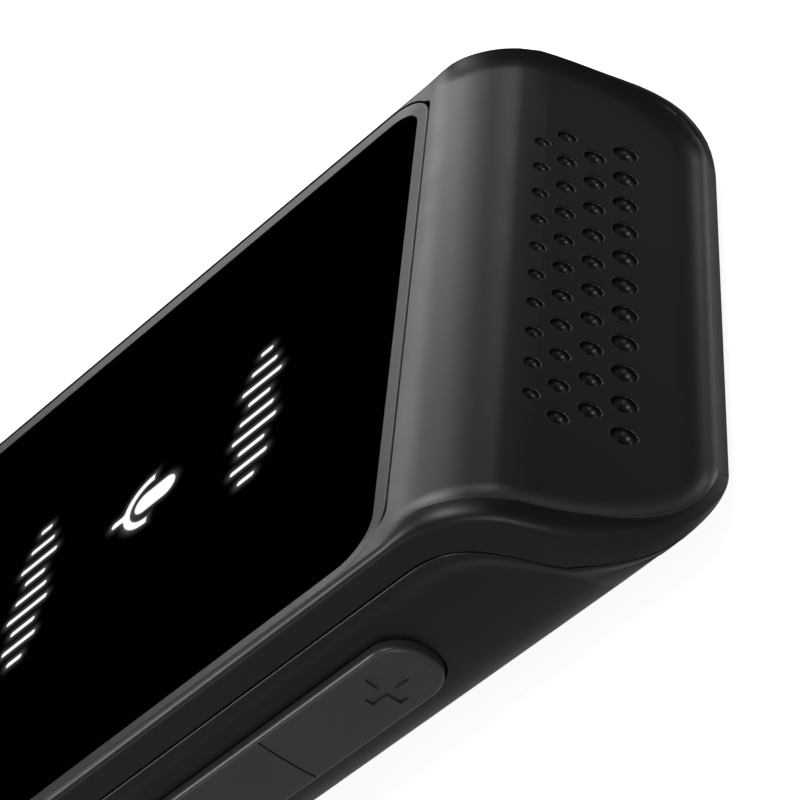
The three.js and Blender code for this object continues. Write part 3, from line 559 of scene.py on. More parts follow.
@dataclass(frozen=True)
class ScreenGlass(Finish):
    """Black glass over a lit picture of plain strokes with a soft glow."""

    marks: tuple[Stroke | Cup, ...]
    blend: float = 0.5
    edge: float = 0.07
    level: float = 0.9
    glow_reach: float = 0.22
    glow_level: float = 0.13
    glow_cut: float = 0.0015
    smear_grain: float = 14.0
    smear_tone: Colour = (0.0006, 0.0006, 0.0007)
    roughness: float = 0.06
    smear_roughness: float = 0.05

    def material(self) -> bpy.types.Material:
        """Build the finish as a material.

        Returns:
            The material.
        """
        tree = Tree.of_material(self.name)
        x, y, _ = tree.axes()
        distance = self.marks[0].distance(tree, x, y)
        for mark in self.marks[1:]:
            distance = tree.math("SMOOTH_MIN", distance, mark.distance(tree, x, y), self.blend)
        outside = tree.math("MAXIMUM", distance, 0.0)
        crisp = tree.math("MAXIMUM", 1.0 - outside / self.edge, 0.0)
        glow = tree.math("EXPONENT", -(outside / self.glow_reach)) * self.glow_level - self.glow_cut
        light = tree.math("MINIMUM", crisp * self.level + tree.math("MAXIMUM", glow, 0.0), 1.0)
        smear = tree.noise(self.smear_grain)
        return tree.surface(
            Base_Color=tree.colour(smear, BLACK, self.smear_tone),
            Roughness=self.roughness + smear * self.smear_roughness,
            Specular_IOR_Level=0.0,
            Emission_Color=tree.colour(light, BLACK, WHITE),
            Emission_Strength=1.0,
        )


@dataclass(frozen=True)
class LensGlass(Finish):
    """Black printed glass with a clear round pupil, whose middle lies at a place along Y."""

    y: float
    pupil: float = 2.1
    print_tone: Colour = (0.003, 0.003, 0.003)
    pupil_tone: Colour = (0.004, 0.004, 0.012)
    roughness: float = 0.08
    ring_half: float = 0.14
    ring_roughness: float = 0.3
    coat: float = 0.5

    def material(self) -> bpy.types.Material:
        """Build the finish as a material.

        Returns:
            The material.
        """
        tree = Tree.of_material(self.name)
        x, y, _ = tree.axes()
        radius = tree.distance(x, y - self.y)
        inside = tree.math("LESS_THAN", radius, self.pupil)
        ring = tree.math("LESS_THAN", abs(radius - self.pupil), self.ring_half)
        return tree.surface(
            Base_Color=tree.colour(inside, self.print_tone, self.pupil_tone),
            Roughness=self.roughness + ring * self.ring_roughness,
            Coat_Weight=inside * self.coat,
        )


class Workbench:
    """Modelling steps that the pieces share; all lengths are in millimetres."""

    flat_weight = 60

    @staticmethod
    def clear() -> None:
        """Leave edit mode and deselect everything."""
        if bpy.context.object and bpy.context.object.mode != "OBJECT":
            bpy.ops.object.mode_set(mode="OBJECT")
        bpy.ops.object.select_all(action="DESELECT")

    @classmethod
    def only(cls, piece: bpy.types.Object) -> None:
        """Make one piece the selected and active one.

        Args:
            piece: The piece.
        """
        cls.clear()
        piece.select_set(True)
        bpy.context.view_layer.objects.active = piece

    @classmethod
    def edit(cls, piece: bpy.types.Object, mode: str, all_selected: bool) -> None:
        """Open a piece for editing.

        Args:
            piece: The piece.
            mode: What is selected: VERT, EDGE or FACE.
            all_selected: Whether all of it is selected, or nothing.
        """
        cls.only(piece)
        bpy.ops.object.mode_set(mode="EDIT")
        bpy.ops.mesh.select_mode(type=mode)
        bpy.ops.mesh.select_all(action="SELECT" if all_selected else "DESELECT")

    @classmethod
    def named(cls, name: str) -> bpy.types.Object:
        """Name the primitive that was added last, and put its place and size into its mesh.

        Args:
            name: The piece's name.

        Returns:
            The piece.
        """
        piece = bpy.context.object
        piece.name = name
        cls.only(piece)
        bpy.ops.object.transform_apply(location=True, rotation=True, scale=True)
        return piece

    @classmethod
    def solid(cls, name: str, points: Iterable[Point], faces: Sequence[tuple[int, ...]]) -> bpy.types.Object:
        """Add a closed mesh.

        Args:
            name: The piece's name.
            points: Its points.
            faces: The numbers of each face's points.

        Returns:
            The piece, its doubles merged and its faces outwards.
        """
        mesh = bpy.data.meshes.new(name)
        mesh.from_pydata([tuple(value * MM for value in point) for point in points], [], faces)
        piece = bpy.data.objects.new(name, mesh)
        bpy.context.collection.objects.link(piece)
        cls.edit(piece, "VERT", True)
        bpy.ops.mesh.remove_doubles(threshold=MERGE * MM)
        bpy.ops.mesh.normals_make_consistent(inside=False)
        bpy.ops.object.mode_set(mode="OBJECT")
        return piece

    @classmethod
    def skin(cls, name: str, rings: Sequence[Sequence[Point]]) -> bpy.types.Object:
        """Stretch a skin over rings of points.

        Args:
            name: The piece's name.
            rings: Rings of the same count; point i lies across from point -1 - i, and
                strips between those pairs close both end rings.

        Returns:
            The piece.
        """
        count = len(rings[0])
        top = (len(rings) - 1) * count
        faces = []
        for low in range(0, top, count):
            for i in range(count):
                after = (i + 1) % count
                faces.append((low + i, low + count + i, low + count + after, low + after))
        for i in range(count // 2 - 1):
            across = count - 1 - i
            faces.append((across, i, i + 1, across - 1))
            faces.append((top + across, top + across - 1, top + i + 1, top + i))
        return cls.solid(name, [point for ring in rings for point in ring], faces)

    @classmethod
    def block(cls, name: str, *spans: Range) -> bpy.types.Object:
        """Add a block.

        Args:
            name: The piece's name.
            spans: Its spans along X, Y and Z.

        Returns:
            The piece.
        """
        cls.clear()
        bpy.ops.mesh.primitive_cube_add(size=1, location=[middle(span) * MM for span in spans])
        bpy.context.object.scale = [(high - low) * MM for low, high in spans]
        return cls.named(name)

    @classmethod
    def plate(
        cls, name: str, spans: tuple[Range, Range, Range], radius: float, axis: int = 2, steps: int = 10
    ) -> bpy.types.Object:
        """Add a block and round its four edges along one axis.

        Args:
            name: The piece's name.
            spans: Its spans along X, Y and Z.
            radius: The corners' radius.
            axis: The axis that the round edges run along.
            steps: Segments in each corner.

        Returns:
            The piece.
        """
        piece = cls.block(name, *spans)
        cls.bevel_edges(piece, edges_along(axis), radius, steps)
        return piece

    @classmethod
    def bevel_edges(cls, piece: bpy.types.Object, choose: Chooser, radius: float, steps: int) -> None:
        """Round the edges that a rule picks.

        Args:
            piece: The piece.
            choose: Says for an edge's two ends whether it is rounded.
            radius: The round's width.
            steps: Segments across the round.
        """
        cls.edit(piece, "EDGE", False)
        bpy.ops.object.mode_set(mode="OBJECT")
        points = piece.data.vertices
        for edge in piece.data.edges:
            start, end = (points[index].co for index in edge.vertices)
            edge.select = choose(start, end)
        bpy.ops.object.mode_set(mode="EDIT")
        bpy.ops.mesh.bevel(offset=radius * MM, segments=steps, affect="EDGES", profile=0.5)
        bpy.ops.object.mode_set(mode="OBJECT")

    @classmethod
    def rod(cls, name: str, radius: float, centre: Point, depth: float, sides: int = 48) -> bpy.types.Object:
        """Add an upright rod.

        Args:
            name: The piece's name.
            radius: The rod's radius.
            centre: Its middle.
            depth: Its height.
            sides: The sides of its round.

        Returns:
            The piece.
        """
        cls.clear()
        place = [value * MM for value in centre]
        bpy.ops.mesh.primitive_cylinder_add(
            vertices=sides, radius=radius * MM, depth=depth * MM, location=place
        )
        return cls.named(name)

    @classmethod
    def cut(
        cls, piece: bpy.types.Object, tools: Iterable[bpy.types.Object], operation: str = "DIFFERENCE"
    ) -> None:
        """Cut or join a piece by tools, which are used up.

        Args:
            piece: The piece.
            tools: Closed meshes.
            operation: The boolean modifier's operation.
        """
        for tool in tools:
            cls.only(piece)
            step = piece.modifiers.new("cut", "BOOLEAN")
            step.operation = operation
            step.solver = "EXACT"
            step.object = tool
            bpy.ops.object.modifier_apply(modifier=step.name)
            bpy.data.objects.remove(tool, do_unlink=True)

    @classmethod
    def join(cls, name: str, pieces: Sequence[bpy.types.Object]) -> bpy.types.Object:
        """Join pieces into one object.

        Args:
            name: The joined piece's name.
            pieces: The pieces, which end up in the first.

        Returns:
            The joined piece.
        """
        cls.only(pieces[0])
        for piece in pieces:
            piece.select_set(True)
        bpy.ops.object.join()
        pieces[0].name = name
        return pieces[0]

    @classmethod
    def shade(cls, piece: bpy.types.Object, angle: float = 30.0) -> None:
        """Shade smooth, and let large faces keep their own normal.

        Args:
            piece: The piece.
            angle: The largest bend that is shaded smooth, in degrees.
        """
        cls.only(piece)
        bpy.ops.object.shade_smooth_by_angle(angle=math.radians(angle))
        weigh = piece.modifiers.new("weigh", "WEIGHTED_NORMAL")
        weigh.keep_sharp = True
        weigh.weight = cls.flat_weight
        bpy.ops.object.modifier_apply(modifier=weigh.name)


def finish_piece(
    piece: bpy.types.Object, body: Body, material: bpy.types.Material, node: str
) -> bpy.types.Object:
    """Shade and dress a piece, let it ride and hide the CAD node that it stands for.

    Args:
        piece: The piece.
        body: The body that it rides on.
        material: Its finish.
        node: The CAD node that it replaces.

    Returns:
        The piece.
    """
    Workbench.shade(piece)
    piece.data.materials.clear()
    piece.data.materials.append(material)
    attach(piece, body.value)
    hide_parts(node)
    log.info("%s: %d faces on %s", piece.name, len(piece.data.polygons), body.value)
    return piece


@dataclass(frozen=True)
class Station:
    """A place on the right half of the body's outline.

    turn goes from 1 at the end of the head's corner to 0 along the side, and on to -1 at the end of
    the lower corner. Along the side, y is the place.
    """

    turn: float
    at_head: bool
    y: float | None = None


@dataclass(frozen=True)
class CornerSizes:
    """How the hull's corners at one end grow from the back upwards, in millimetres."""

    back_radius: float
    top_radius: float
    grow_height: float
    fillet: float
    ease: float = 0.4

    def radius(self, z: float, inset: float) -> float:
        """Plan radius of a corner.

        Args:
            z: Height in millimetres.
            inset: Wall thickness that it is drawn in by.

        Returns:
            The radius, which eases into its full size.
        """
        short = 1 - z / self.grow_height
        if short < self.ease:
            short = max(short + self.ease, 0.0) ** 2 / (4 * self.ease)
        radius = mix(self.top_radius, self.back_radius, min(short, 1.0))
        return max(radius - inset, self.back_radius / 2)

    def setback(self, z: float, inset: float) -> float:
        """How far the end's rounded lower edge holds its wall back.

        Args:
            z: Height in millimetres.
            inset: Wall thickness that it is drawn in by.

        Returns:
            The distance.
        """
        radius = self.fillet - inset
        fall = min(radius, max(0.0, self.fillet - z))
        return inset + radius - math.sqrt(radius**2 - fall**2)


@dataclass(frozen=True)
class EndOutline:
    """One end of an outline: its wall's distance and its corners' width and depth."""

    wall: float
    width: float
    depth: float


@dataclass(frozen=True)
class Outline:
    """A rectangle with round corners, each end with its own."""

    side: float
    head: EndOutline
    low: EndOutline

    def at(self, station: Station) -> tuple[float, float]:
        """The outline's point at a station.

        Args:
            station: The station.

        Returns:
            The point's X and Y.
        """
        if station.y is not None:
            return self.side, station.y
        angle = abs(station.turn) * math.pi / 2
        end = self.head if station.at_head else self.low
        from_middle = end.wall - end.depth * (1 - math.sin(angle))
        return (
            self.side - end.width * (1 - math.cos(angle)),
            from_middle if station.at_head else -from_middle,
        )


@dataclass
class HousingForm:
    """The housing's sizes in millimetres, and the surfaces that follow from them.

    The head's surface is a tray: a round shoulder past the glass, then a slope. A raised edge,
    whose crest follows the outline, curls up round the tray. The hull's section is made of
    three circles: one under the back, one round the lower side and one along the side.
    """

    half_width: float = 28.5
    half_length: float = 71.0
    plan_corner: float = 8.2
    low_corner: CornerSizes = CornerSizes(back_radius=3.0, top_radius=8.2, grow_height=7.0, fillet=4.7)
    head_corner: CornerSizes = CornerSizes(back_radius=0.95, top_radius=6.85, grow_height=6.5, fillet=2.6)
    head_wall_inset: float = 0.8
    lip_setback: float = 1.4
    hull_radius: float = 23.4
    side_fillet: float = 4.7
    fillet_low: float = math.radians(59.3)
    fillet_high: float = math.radians(17)
    side_bulge: float = 25.1
    step_depth: float = 0.36
    step_height: float = 1.5
    step_band: float = 0.5
    step_fade: float = 6.0
    wall: float = 1.6
    tray_wall: float = 1.3
    seam_gap: float = 0.06
    head_reach: float = 17.0
    rim_width: float = 1.15
    loose_gap: float = 0.15
    skirt_rise: float = 0.2
    skirt_edge: float = 0.55
    seam_depth: float = 2.1
    shoulder_radius: float = 8.54
    shoulder_start: float = math.radians(4)
    slope_angle: float = math.radians(62)
    crest_inset: float = 1.1
    crest_width: float = 8.9
    crest_depth: float = 6.2
    crest_angle: float = math.radians(55)
    crest_drop: float = 1.05
    lip_drop: float = 0.8
    lip_drop_share: float = 0.67
    lip_base: float = 0.15
    curl_width: float = 2.24
    curl_height: float = 0.5
    end_curl_width: float = 3.9
    end_curl_height: float = 0.72
    head_blend: float = 3.5
    bar_edge: float = 0.2
    bar_width: float = 4.0
    nose_solid: float = 3.8
    corner_steps: int = 18
    side_steps: int = 18
    side_lead: float = 2.0
    inside_steps: int = 6
    # Shares of the head's length, and of the seam's full height there.
    seam_shares: tuple[tuple[float, float], ...] = (
        (0.04, 1), (0.2, 0.978), (0.31, 0.9), (0.4, 0.76), (0.475, 0.585),
        (0.56, 0.44), (0.66, 0.29), (0.78, 0.165), (0.9, 0.075), (1, 0.045),
    )

    def __post_init__(self) -> None:
        """Work out the places that follow from the sizes and the frame."""
        glass = node_spans("cover_glass")
        self.glass_half = glass[0][1]
        self.glass_low, self.glass_top = glass[1]
        self.glass_height = glass[2][1]
        self.head_wall = self.glass_top + self.head_reach
        self.edge_height = self.glass_height + self.skirt_rise
        self.seam_height = self.glass_height - self.seam_depth
        self.crease = self.glass_top + self.rim_width + self.loose_gap
        self.shoulder_y = self.crease + self.shoulder_radius * math.sin(self.shoulder_start)
        self.shoulder_z = self.edge_height - self.shoulder_radius * math.cos(self.shoulder_start)
        self.slope_y = self.shoulder_y + self.shoulder_radius * math.sin(self.slope_angle)
        self.slope_z = self.shoulder_z + self.shoulder_radius * math.cos(self.slope_angle)
        inner = self.hull_radius - self.side_fillet
        outer = self.side_bulge - self.side_fillet
        self.bulge_x = self.half_width - self.step_depth - self.side_bulge
        self.fillet_x = self.bulge_x + outer * math.cos(self.fillet_high)
        self.fillet_z = self.hull_radius - inner * math.sin(self.fillet_low)
        self.bulge_z = self.fillet_z + outer * math.sin(self.fillet_high)
        self.back_flat = self.fillet_x - inner * math.cos(self.fillet_low)
        self.full = self.outline(self.seam_height, 1, 0)
        self.stations = self._stations()

    def _stations(self) -> list[Station]:
        """Choose places from the head round the right side to the lower end.

        Returns:
            The stations in their order.
        """
        turns = shares(self.corner_steps)
        corner_start = self.head_wall - self.plan_corner
        side_start = self.glass_top + self.head_reach * self.seam_shares[0][0]
        side = [mix(corner_start, side_start, share) for share in shares(self.side_steps)[1:]]
        side += [side_start - self.side_lead, 0.0]
        return (
            [Station(1 - share, True) for share in turns]
            + [Station(0, False, y) for y in side]
            + [Station(-share, False) for share in turns]
        )

    def half_at(self, z: float, inset: float) -> float:
        """Half width of the hull.

        Args:
            z: Height in millimetres.
            inset: Wall thickness that it is drawn in by.

        Returns:
            The half width, on the circle that carries the hull at that height.
        """
        circles = (
            (self.fillet_high, self.bulge_x, self.bulge_z, self.side_bulge),
            (self.fillet_low, self.fillet_x, self.fillet_z, self.side_fillet),
            (math.pi / 2, self.back_flat, self.hull_radius, self.hull_radius),
        )
        for low_angle, x, centre, radius in circles:
            if z > self.fillet_z - (self.side_fillet - inset) * math.sin(low_angle):
                break
        fall = max(0.0, centre - z)
        return x + math.sqrt(max(0.0, (radius - inset) ** 2 - fall**2))

    def outline(self, z: float, step: float, inset: float) -> Outline:
        """The hull's outline at a height.

        Args:
            z: Height in millimetres.
            step: Share of the small step in the wall that is on.
            inset: Wall thickness that it is drawn in by.

        Returns:
            The outline.
        """
        out = self.step_depth * step * clamp(z / self.step_fade)
        ends = []
        for wall, corner in (
            (self.head_wall - self.head_wall_inset, self.head_corner), (self.half_length, self.low_corner)
        ):
            radius = corner.radius(z, inset)
            ends.append(EndOutline(wall - (self.step_depth - out) - corner.setback(z, inset), radius, radius))
        return Outline(self.half_at(z, inset) + out, *ends)

    def hull_point(self, station: Station, z: float, step: float, inset: float) -> Point:
        """A point on the hull; see outline for what z, step and inset are."""
        return (*self.outline(z, step, inset).at(station), z)

    def ring(self, point_at: Callable[..., Point], *settings: float) -> list[Point]:
        """A ring of points, made by a method at the right half's stations, then mirrored."""
        right = [point_at(station, *settings) for station in self.stations]
        return right + [(-x, y, z) for x, y, z in reversed(right)]

    def nominal(self, station: Station) -> float:
        """A station's place along the body."""
        return self.full.at(station)[1]

    def seam(self, station: Station) -> float:
        """Height of the line between the shells, through its points on a smooth curve.

        Args:
            station: The station.

        Returns:
            The height.
        """
        place = (self.nominal(station) - self.glass_top) / self.head_reach
        table = self.seam_shares
        if place <= table[0][0]:
            return self.seam_height
        if place >= table[-1][0]:
            return self.seam_height * table[-1][1]
        i = next(index for index in range(len(table) - 1) if table[index + 1][0] >= place)
        (x0, y0), (x1, y1) = table[i], table[i + 1]
        t, width = (place - x0) / (x1 - x0), x1 - x0
        height = (
            (2 * t**3 - 3 * t**2 + 1) * y0 + (t**3 - 2 * t**2 + t) * width * self._seam_slope(i)
            + (3 * t**2 - 2 * t**3) * y1 + (t**3 - t**2) * width * self._seam_slope(i + 1)
        )
        return self.seam_height * height

    def _seam_slope(self, index: int) -> float:
        """Slope of the seam's curve at a point of its table.

        Args:
            index: The point's number.

        Returns:
            The slope, which is level at the start.
        """
        if index == 0:
            return 0.0
        table = self.seam_shares
        before, after = table[index - 1], table[min(len(table) - 1, index + 1)]
        return (after[1] - before[1]) / (after[0] - before[0])

    def hull_rows(self, inset: float, steps: int) -> list[float]:
        """Heights along the hull's circles from the flat of the back up.

        Args:
            inset: Wall thickness that the hull is drawn in by.
            steps: Rows on each circle.

        Returns:
            The heights.
        """
        circles = (
            (self.hull_radius, self.hull_radius, math.pi / 2, self.fillet_low),
            (self.fillet_z, self.side_fillet, self.fillet_low, self.fillet_high),
            (self.bulge_z, self.side_bulge, self.fillet_high, 0.0),
        )
        return [
            centre - (radius - inset) * math.sin(mix(low, high, share))
            for centre, radius, low, high in circles
            for share in shares(steps)[:-1]
        ]

    def hull_inside(self, name: str, inset: float) -> bpy.types.Object:
        """A solid that fills the hull's inside, up past the shells' seam."""
        levels = self.hull_rows(inset, self.inside_steps) + [self.bulge_z, self.edge_height]
        return Workbench.skin(name, [self.ring(self.hull_point, z, 0, inset) for z in levels])

    def tray(self, y: float) -> tuple[float, float]:
        """The head's surface without its raised edge.

        Args:
            y: The place along the body.

        Returns:
            The surface's height and lean.
        """
        if y <= self.crease:
            return self.edge_height, 0.0
        if y >= self.slope_y:
            return self.slope_z - (y - self.slope_y) * math.tan(self.slope_angle), self.slope_angle
        lean = math.asin((y - self.shoulder_y) / self.shoulder_radius)
        return self.shoulder_z + self.shoulder_radius * math.cos(lean), lean

    def head_share(self, y: float) -> float:
        """How far the head's raised edge has grown at a place."""
        return smooth((y - self.crease) / self.head_blend)

    def edge_point(self, station: Station, share: float) -> Point:
        """A point on the raised edge.

        Args:
            station: The station.
            share: How far in it lies from the crest, as a share of the edge's width.

        Returns:
            The point.
        """
        inset = mix(self.skirt_edge, self.crest_inset, self.head_share(self.nominal(station)))
        corner = self.plan_corner - inset
        outline = Outline(
            self.half_width - inset,
            EndOutline(self.head_wall - self.lip_setback, self.crest_width, self.crest_depth),
            EndOutline(self.half_length - inset, corner, corner),
        )
        crest_x, crest_y = outline.at(station)
        angle = station.turn * math.pi / 2
        lean = self.tray(crest_y)[1]
        inward = Vector((math.cos(angle) / math.cos(lean), math.sin(angle))).normalized()
        at_end = smooth(station.turn)
        width = mix(self.curl_width, self.end_curl_width, at_end)
        rise = mix(self.curl_height, self.end_curl_height, at_end)
        x = crest_x - inward.x * width * share
        y = crest_y - inward.y * math.cos(lean) * width * share
        height, lean = self.tray(y)
        return x, y, height + rise * self.head_share(y) * (1 - share) ** 2 / math.cos(lean)

    def edge_base(self, station: Station) -> float:
        """Where the wall ends and the raised edge's round starts.

        Args:
            station: The station.

        Returns:
            The height.
        """
        _, crest_y, crest_z = self.edge_point(station, 0)
        steep = self.crest_drop / math.cos(self.tray(crest_y)[1])
        drop = mix(steep, self.lip_drop, smooth(station.turn * self.lip_drop_share))
        drop += self.lip_base * smooth(station.turn)
        return crest_z - mix(self.skirt_edge, drop, self.head_share(self.nominal(station)))


@dataclass(frozen=True)
class HoleRow:
    """A row of sound holes: their number, their distance down the slope and their radius."""

    count: int
    distance: float
    radius: float


@dataclass
class FrontShell:
    """Front housing: the frame round the screen and the speaker head with its holes."""

    form: HousingForm
    material: bpy.types.Material
    wall_rows: int = 8
    round_rows: int = 8
    edge_rows: int = 14
    seam_round: float = 0.08
    rim_depth: float = 1.4
    flange_width: float = 2.5
    display_edge: float = 1.3
    fit_gap: float = 0.3
    glass_corner: float = 3.0
    display_corner: float = 1.5
    room_steps: int = 12
    hole_pitch: float = 3.42
    hole_sides: int = 40
    mouth_round: float = 0.14
    mouth_steps: int = 5
    mouth_overrun: float = 1.0
    bowl_share: float = 0.85
    bowl_steps: int = 10
    throat_share: float = 0.45
    throat_depth: float = 2.5
    rows: tuple[HoleRow, ...] = (
        HoleRow(10, -0.35, 0.57), HoleRow(11, 1.46, 0.7), HoleRow(10, 3.57, 0.77), HoleRow(11, 5.86, 0.9),
    )

    def build(self) -> bpy.types.Object:
        """Model, cut and dress the shell.

        Returns:
            The shell.
        """
        form = self.form
        rings = [form.ring(self._lower_edge)]
        rings += [form.ring(self._wall, share) for share in shares(self.wall_rows)]
        rings += [form.ring(self._turned, share) for share in shares(self.round_rows)[1:-1]]
        rings += [form.ring(form.edge_point, share) for share in shares(self.edge_rows)]
        shell = Workbench.skin("front_housing", rings)
        Workbench.cut(shell, [self._opening(), self._flange_opening(), self._room(), self._holes()])
        return finish_piece(shell, Body.HOUSING, self.material, "front_shell")

    def _lower_edge(self, station: Station) -> Point:
        """A point of the small round that the wall starts with."""
        return self.form.hull_point(station, self.form.seam(station), 1, self.seam_round)

    def _wall(self, station: Station, share: float) -> Point:
        """A point of the wall.

        Args:
            station: The station.
            share: How far up the wall it lies.

        Returns:
            The point.
        """
        base = self.form.edge_base(station)
        start = min(self.form.seam(station) + self.seam_round, base)
        return self.form.hull_point(station, mix(start, base, share), 1, 0)

    def _turned(self, station: Station, share: float) -> Point:
        """A point of the round between the wall and the crest.

        Args:
            station: The station.
            share: How far round it lies.

        Returns:
            The point.
        """
        start, crest = self._wall(station, 1), self.form.edge_point(station, 0)
        top = self.form.crest_angle * self.form.head_share(self.form.nominal(station))
        angle = mix(math.pi / 2, top, share)
        along = (1 - math.sin(angle)) / (1 - math.sin(top))
        return (
            mix(start[0], crest[0], along),
            mix(start[1], crest[1], along),
            mix(start[2], crest[2], math.cos(angle) / math.cos(top)),
        )

    def _opening(self) -> bpy.types.Object:
        """Model the tool for the screen's opening.

        Returns:
            The tool.
        """
        form = self.form
        border = form.rim_width + form.loose_gap
        side = form.glass_half + form.rim_width + form.loose_gap
        length = form.glass_low - border, form.crease
        height = form.glass_height - self.rim_depth, OVERRUN * 2
        return Workbench.plate("opening", ((-side, side), length, height), self.glass_corner + form.rim_width)

    def _flange_opening(self) -> bpy.types.Object:
        """Model the tool for the opening in the ledge under the screen.

        Returns:
            The tool.
        """
        form = self.form
        side = form.half_width - self.flange_width
        length = form.glass_low + self.display_edge - self.fit_gap, form.crease + form.bar_edge
        height = -OVERRUN, OVERRUN * 2
        return Workbench.plate("ledge_opening", ((-side, side), length, height), self.display_corner)

    def _room(self) -> bpy.types.Object:
        """Model the tool for the room under the head's surface.

        Returns:
            The tool.
        """
        form = self.form
        bar_end = form.crease + form.bar_edge + form.bar_width
        nose = form.head_wall - form.nose_solid
        upper = [mix(bar_end, form.slope_y, share) for share in shares(self.room_steps)] + [nose]
        low, bar = form.glass_top, form.seam_height
        outline = [(low, -OVERRUN), (low, bar), (bar_end, bar)]
        for y in upper:
            height, lean = form.tray(y)
            outline.append((y, height - form.tray_wall / math.cos(lean)))
        outline.append((nose, -OVERRUN))
        count = len(outline)
        faces = [tuple(range(count)), tuple(range(2 * count - 1, count - 1, -1))]
        faces += [(i, count + i, count + (i + 1) % count, (i + 1) % count) for i in range(count)]
        room = Workbench.solid(
            "room", [(side * form.half_width, y, z) for side in (-1, 1) for y, z in outline], faces
        )
        Workbench.cut(room, [form.hull_inside("hull_room", form.wall)], "INTERSECT")
        return room

    def _holes(self) -> bpy.types.Object:
        """Model the tool for the sound holes.

        Returns:
            The tool.
        """
        tools = []
        for row in self.rows:
            for place in range(row.count):
                tools.append(self._hole((place - (row.count - 1) / 2) * self.hole_pitch, row))
        return Workbench.join("holes", tools)

    def _hole(self, across: float, row: HoleRow) -> bpy.types.Object:
        """Model the tool for one sound hole: a bowl with a round mouth and a narrow throat.

        Args:
            across: The hole's place across the head.
            row: Its row.

        Returns:
            The tool.
        """
        lip, radius = self.mouth_round, row.radius
        throat = radius * self.throat_share
        turns = [share * math.pi / 2 for share in shares(self.mouth_steps)]
        bowl = [share * math.acos(throat / radius) for share in shares(self.bowl_steps)[1:]]
        profile = [(radius + lip, self.mouth_overrun)]
        profile += [(radius + lip * (1 - math.sin(turn)), lip * (math.cos(turn) - 1)) for turn in turns]
        profile += [
            (radius * math.cos(turn), -lip - radius * self.bowl_share * math.sin(turn)) for turn in bowl
        ]
        profile.append((throat, -self.throat_depth))
        lean = self.form.slope_angle
        angles = [(step + 0.5) / self.hole_sides * math.tau for step in range(self.hole_sides)]
        rings = []
        for ring_radius, height in profile:
            ring = []
            for angle in angles:
                down = row.distance + ring_radius * math.sin(angle)
                ring.append((
                    across + ring_radius * math.cos(angle),
                    self.form.slope_y + down * math.cos(lean) + height * math.sin(lean),
                    self.form.slope_z - down * math.sin(lean) + height * math.cos(lean),
                ))
            rings.append(ring)
        return Workbench.skin("hole", rings)


@dataclass(frozen=True)
class KeyPlan:
    """Where a key sits and how long it is, in millimetres."""

    name: str
    node: str
    body: Body
    side: Side
    from_top: float
    length: float
    stems: tuple[float, ...] = (0.0,)


@dataclass(frozen=True)
class KeySizes:
    """Sizes that the three keys share, in millimetres."""

    height: float = 5.6
    centre: float = 8.9
    corner: float = 2.4
    least_corner: float = 0.15
    proud: float = 0.5
    edge: float = 0.4
    face_insets: tuple[float, ...] = (0.9, 1.5, 2.1, 2.5)
    gap: float = 0.15
    flange_end: float = 0.9
    flange_side: float = 0.5
    flange_thickness: float = 0.6
    pocket_x: float = 25.9
    pocket_reach: float = 3.0
    flange_gap: float = 0.4
    stem_length: float = 0.6
    stem_width: float = 1.6
    fit_gap: float = 0.3

    @property
    def flange_outer(self) -> float:
        """Outer face of the flange behind the wall."""
        return self.pocket_x - self.flange_gap


